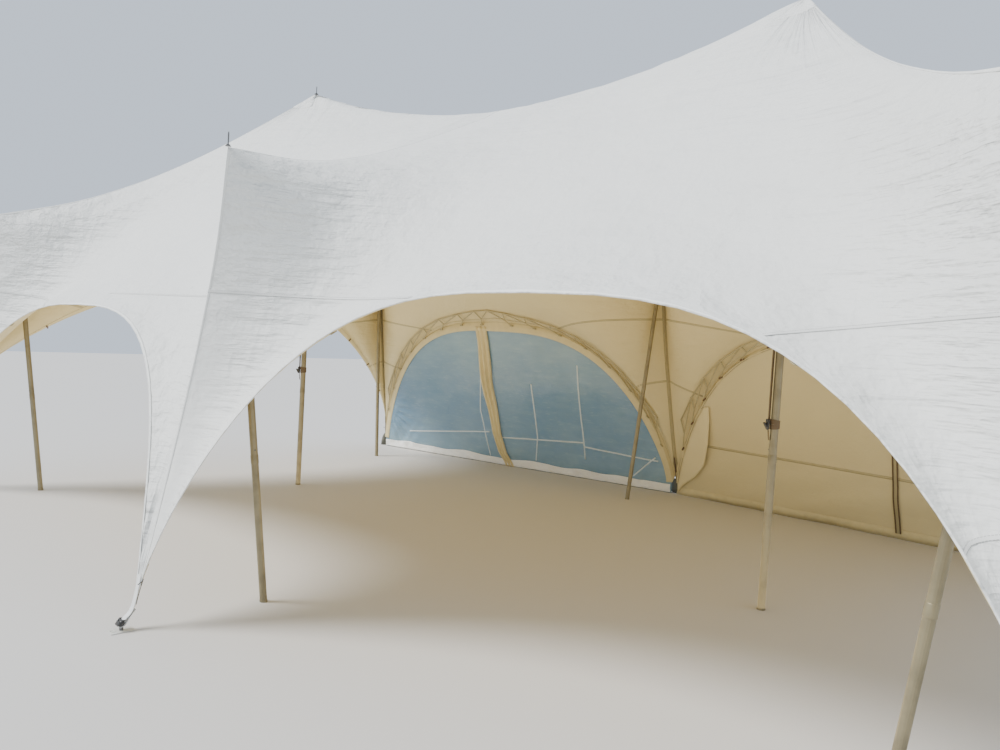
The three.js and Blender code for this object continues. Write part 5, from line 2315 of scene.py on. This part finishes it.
@dataclass
class Anchors:
    """The webbing, ratchet, stake and plate that hold each leg's tip down.

    Args:
        canopy: what they hold.
        finishes: every material.
        set_out: how far the stake stands out from the leg's anchor point.
        stake_height: of the stake's head above the ground.
        plate: size of the plate on the ground.
        webbing: width and thickness of the webbing's outer run.
        return_webbing: the same of its inner run.
        edge_cord: radius of the cord along a leg's edge, and of its tied end.
        strap_levels: heights between which the dark strap lies in a back leg.
        pocket: height and half width of the back legs' end pockets, from the foot up.
    """

    canopy: Canopy
    finishes: Finishes
    set_out: float = 0.045
    stake_height: float = 0.046
    plate: Point = (0.069, 0.118, 0.005)
    webbing: tuple[float, float] = (0.042, 0.0024)
    return_webbing: tuple[float, float] = (0.038, 0.0022)
    edge_cord: tuple[float, float] = (0.0015, 0.0024)
    strap_levels: tuple[float, float] = (0.16, 0.4)
    pocket: Corners = ((0.002, 0.078), (0.06, 0.07), (0.12, 0.055), (0.17, 0.03))

    def build(self) -> None:
        """Makes the six anchors and what is sewn into the legs' ends."""
        for leg, points in zip(LEGS, LEG_POINTS):
            self._anchor(leg, points)
        self._end_pockets()
        self._edge_cords()

    def _end_pockets(self) -> None:
        """Makes the pocket and the dark strap inside the end of each back leg."""
        pockets, straps = Shape(), Shape()
        for index, leg in enumerate(LEGS):
            if not leg.name.startswith("back"):
                continue
            pockets.grid(self._pocket(LEG_POINTS[index]))
            middle = index * self.canopy.net.steps
            ends = (self.canopy.row_at_height(middle, high) for high in self.strap_levels)
            rows = np.linspace(*ends, 20)
            self.canopy.ribbon(straps, np.full(rows.shape, middle, float), rows, LEG_END_STRAP)
        pockets.piece("leg_end_pockets", self.finishes.pocket, slot="strap", outward=False,
                      thickness=0.0018)
        straps.piece("leg_end_straps", self.finishes.dark_strap, slot="strap", outward=False,
                     thickness=LEG_END_STRAP.thickness)

    def _pocket(self, points: dict[str, np.ndarray]) -> np.ndarray:
        """Returns the stiff tapered pocket that a leg's end is sewn into, seen from inside."""
        outward, across = leg_directions(points)
        climb = points["top"] - points["anchor"]
        lines = []
        for height, half in self.pocket:
            middle = points["anchor"] + climb * (height / climb[2])
            lines.append([middle + across * half * side - outward * (0.034 - 0.01 * side * side)
                          for side in (-1.0, -0.5, 0.0, 0.5, 1.0)])
        return np.array(lines)

    def _edge_cords(self) -> None:
        """Makes the thin dark cord along one edge of each leg, with its tied end."""
        shape = Shape()
        cord, tied = self.edge_cord
        net = self.canopy.net
        for index in range(BAY_COUNT):
            reach = np.linspace(0.01, 0.15, 8)
            lengths = self.canopy.from_seam[:, 0]
            near = index * net.steps + np.arange(12)
            columns = np.interp(reach, lengths[near % net.columns], near)
            path = self.canopy.at(columns, 0.0, -0.0055)
            shape.tube(path, cord, 6)
            out = unit(path[-1] - path[-2])
            aside = unit(np.cross(out, (0, 0, 1.0)))
            tail = [path[-1], path[-1] + aside * 0.012 - out * 0.012,
                    path[-1] + aside * 0.045 - out * 0.016]
            shape.tube(smooth_path(tail, 8), tied, 6)
        shape.piece("leg_edge_cords", self.finishes.black, slot="rope")

    def _anchor(self, leg: Leg, points: dict[str, np.ndarray]) -> None:
        """Makes one anchor: plate, stake, webbing and ratchet.

        Args:
            leg: the leg that it holds.
            points: the leg's points.
        """
        outward, across = leg_directions(points)
        base = points["anchor"] + outward * self.set_out
        place = placed(base, across, outward, (0.0, 0.0, 1.0))
        ground = Shape()
        ground.block(self.plate, place @ Matrix.Translation((0, 0, 0.0026)), 0.0016)
        ground.ring(0.012, 0.0022, place @ Matrix.Translation((0, 0.043, 0.0055)), 16)
        ground.piece(f"anchor_{leg.name}_plate", self.finishes.plate, slot="steel")
        head = Shape()
        height = self.stake_height
        head.turned([(0.0, 0.005), (0.010, 0.005), (0.010, height - 0.014), (0.014, height - 0.012),
                     (0.0145, height - 0.003), (0.012, height), (0.0, height)], place, 20)
        stake = head.piece(f"anchor_{leg.name}_stake", self.finishes.steel, slot="steel")
        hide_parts(f"anchor_{leg.name}")
        self._webbing(leg, points, base)

    def _webbing(self, leg: Leg, points: dict[str, np.ndarray], base: np.ndarray) -> None:
        """Makes the doubled webbing from the leg's tip to the stake, and its ratchet.

        Args:
            leg: the leg that it holds.
            points: the leg's points.
            base: the stake's foot.
        """
        outward, across = leg_directions(points)
        climb = unit(points["top"] - points["anchor"])
        tip = points["tip"]
        hook = base + (0, 0, self.stake_height - 0.012)
        face = unit(np.cross(across, climb))
        face = face if face @ outward > 0 else -face
        shape = Shape()
        path = smooth_path([tip + climb * 0.16 + face * 0.009, tip + climb * 0.06 + face * 0.008,
                            tip * 0.8 + hook * 0.2 + face * 0.006,
                            tip * 0.35 + hook * 0.65 + face * 0.009,
                            hook + outward * 0.013], 24)
        shape.strap(path, np.tile(face, (len(path), 1)), *self.webbing)
        path = smooth_path([hook + outward * 0.011 - (0, 0, 0.012), hook - outward * 0.014,
                            tip * 0.4 + hook * 0.6 - face * 0.006, tip - climb * 0.01], 20)
        shape.strap(path, np.tile(-face, (len(path), 1)), *self.return_webbing)
        webbing = shape.piece(f"anchor_{leg.name}_webbing", self.finishes.strap, slot="strap")
        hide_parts(f"anchor_strap_{leg.name}")
        body = Shape()
        middle = tip * 0.15 + hook * 0.85 + face * 0.014
        place = placed(middle, across, unit(tip - hook), face)
        for side in (-1, 1):
            cheek = place @ Matrix.Translation((side * 0.022, 0.0, 0.002))
            body.block((0.003, 0.036, 0.016), cheek, 0.001)
        bar = place @ Matrix.Translation((0, 0.01, 0.005)) @ Matrix.Rotation(math.pi / 2, 4, "Y")
        body.turned([(0.0, -0.025), (0.005, -0.025), (0.005, 0.025), (0.0, 0.025)], bar, 14)
        lever = place @ Matrix.Translation((0, -0.008, 0.009)) @ Matrix.Rotation(0.25, 4, "X")
        body.block((0.041, 0.026, 0.005), lever, 0.0015)
        body.piece(f"anchor_{leg.name}_ratchet", self.finishes.black, slot="steel")


def dress(node: str, material: bpy.types.Material) -> None:
    """Gives a carried-over solid its finish."""
    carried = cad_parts[node]
    carried.data.materials.clear()
    carried.data.materials.append(material)


@dataclass(frozen=True)
class CameraPlace:
    """Where the picture was taken from, as fitted to the tent's corners.

    Args:
        spot: the camera's place.
        yaw: turn to the left of +Y, as a negative angle, in radians.
        dip: how far it looks down.
        roll: how far it leans.
        lens: focal length in millimetres.
        sensor: the sensor's width in millimetres.
    """

    spot: Point = (4.065, -4.95, 1.60)
    yaw: float = -0.688
    dip: float = 0.046
    roll: float = -0.059
    lens: float = 28.13
    sensor: float = 36.0

    def matrix(self) -> Matrix:
        """Returns the camera's place as a matrix."""
        ahead = Vector((math.sin(self.yaw) * math.cos(self.dip),
                        math.cos(self.yaw) * math.cos(self.dip), -math.sin(self.dip)))
        right = Vector((math.cos(self.yaw), -math.sin(self.yaw), 0.0))
        up = right.cross(ahead)
        side = right * math.cos(self.roll) - up * math.sin(self.roll)
        top = right * math.sin(self.roll) + up * math.cos(self.roll)
        return placed(self.spot, side, top, -ahead)


@dataclass
class Studio:
    """Pale floor, soft light and the camera.

    Args:
        floor_size: width of the floor.
        floor_colour: of the floor.
        sky_colour: of the light from all round.
        sky_strength: of that light.
        sun_turn: the sun's turn about X, Y and Z, in degrees.
        sun_strength: of the sun.
        sun_spread: how wide the sun looks, in degrees.
        glow_spots: where the ground throws up warm light inside.
        glow_size: width and depth of each of those lights.
        glow_power: of each.
        glow_colour: of each.
    """

    floor_size: float = 60.0
    floor_colour: Colour = rgb(0.62, 0.60, 0.57)
    sky_colour: Colour = rgb(0.60, 0.68, 0.79)
    sky_strength: float = 1.3
    sun_turn: Point = (42.0, 6.0, -44.0)
    sun_strength: float = 4.5
    sun_spread: float = 22.0
    glow_spots: tuple[Point, ...] = ((-2.3, -0.4, 0.008), (2.0, -0.4, 0.008))
    glow_size: tuple[float, float] = (3.6, 3.0)
    glow_power: float = 44.0
    glow_colour: tuple[float, float, float] = (1.0, 0.86, 0.62)

    def build(self) -> None:
        """Makes the camera, the floor and the lights."""
        place = CameraPlace()
        camera_data = bpy.data.cameras.new("camera")
        camera_data.lens = place.lens
        camera_data.sensor_width = place.sensor
        camera_data.clip_end = 200.0
        camera = bpy.data.objects.new("camera", camera_data)
        camera.matrix_world = place.matrix()
        bpy.context.scene.collection.objects.link(camera)
        bpy.context.scene.camera = camera
        self._floor()
        self._sun()
        for spot in self.glow_spots:
            self._glow(spot)
        self._sky()

    def _floor(self) -> None:
        """Makes the floor."""
        mesh = bmesh.new()
        bmesh.ops.create_grid(mesh, x_segments=1, y_segments=1, size=self.floor_size / 2)
        data = bpy.data.meshes.new("floor")
        mesh.to_mesh(data)
        mesh.free()
        floor = bpy.data.objects.new("floor", data)
        bpy.context.scene.collection.objects.link(floor)
        graph = Graph("floor")
        tone = graph.noise(0.4, 2.0)
        colour = graph.mix(tone, tint(self.floor_colour, 0.98), self.floor_colour)
        data.materials.append(graph.finish(Base_Color=colour, Roughness=0.9))

    def _sun(self) -> None:
        """Makes a broad light from far away."""
        data = bpy.data.lights.new("key_sun", "SUN")
        data.energy = self.sun_strength
        data.angle = math.radians(self.sun_spread)
        sun = bpy.data.objects.new("key_sun", data)
        sun.rotation_euler = [math.radians(angle) for angle in self.sun_turn]
        bpy.context.scene.collection.objects.link(sun)

    def _glow(self, spot: Point) -> None:
        """Makes one of the warm lights that the ground throws up inside."""
        data = bpy.data.lights.new("ground_glow", "AREA")
        data.energy = self.glow_power
        data.color = self.glow_colour
        data.shape = "RECTANGLE"
        data.size, data.size_y = self.glow_size
        light = bpy.data.objects.new("ground_glow", data)
        light.location = spot
        light.rotation_euler = (math.pi, 0.0, 0.0)
        light.visible_camera = False
        bpy.context.scene.collection.objects.link(light)

    def _sky(self) -> None:
        """Makes the even light from all round."""
        world = bpy.data.worlds.new("soft_light")
        bpy.context.scene.world = world
        world.use_nodes = True
        background = world.node_tree.nodes["Background"]
        background.inputs[0].default_value = self.sky_colour
        background.inputs[1].default_value = self.sky_strength


def main() -> None:
    """Builds the pieces in order."""
    logging.basicConfig(level=logging.INFO, format="%(name)s: %(message)s")
    Studio().build()
    finishes = Finishes()
    canopy = Canopy(finishes)
    canopy.build()
    WindowWall(canopy, finishes).build()
    PlainWall(canopy, finishes).build()
    Poles(finishes).build()
    Anchors(canopy, finishes).build()


if __name__ == "__main__":
    main()
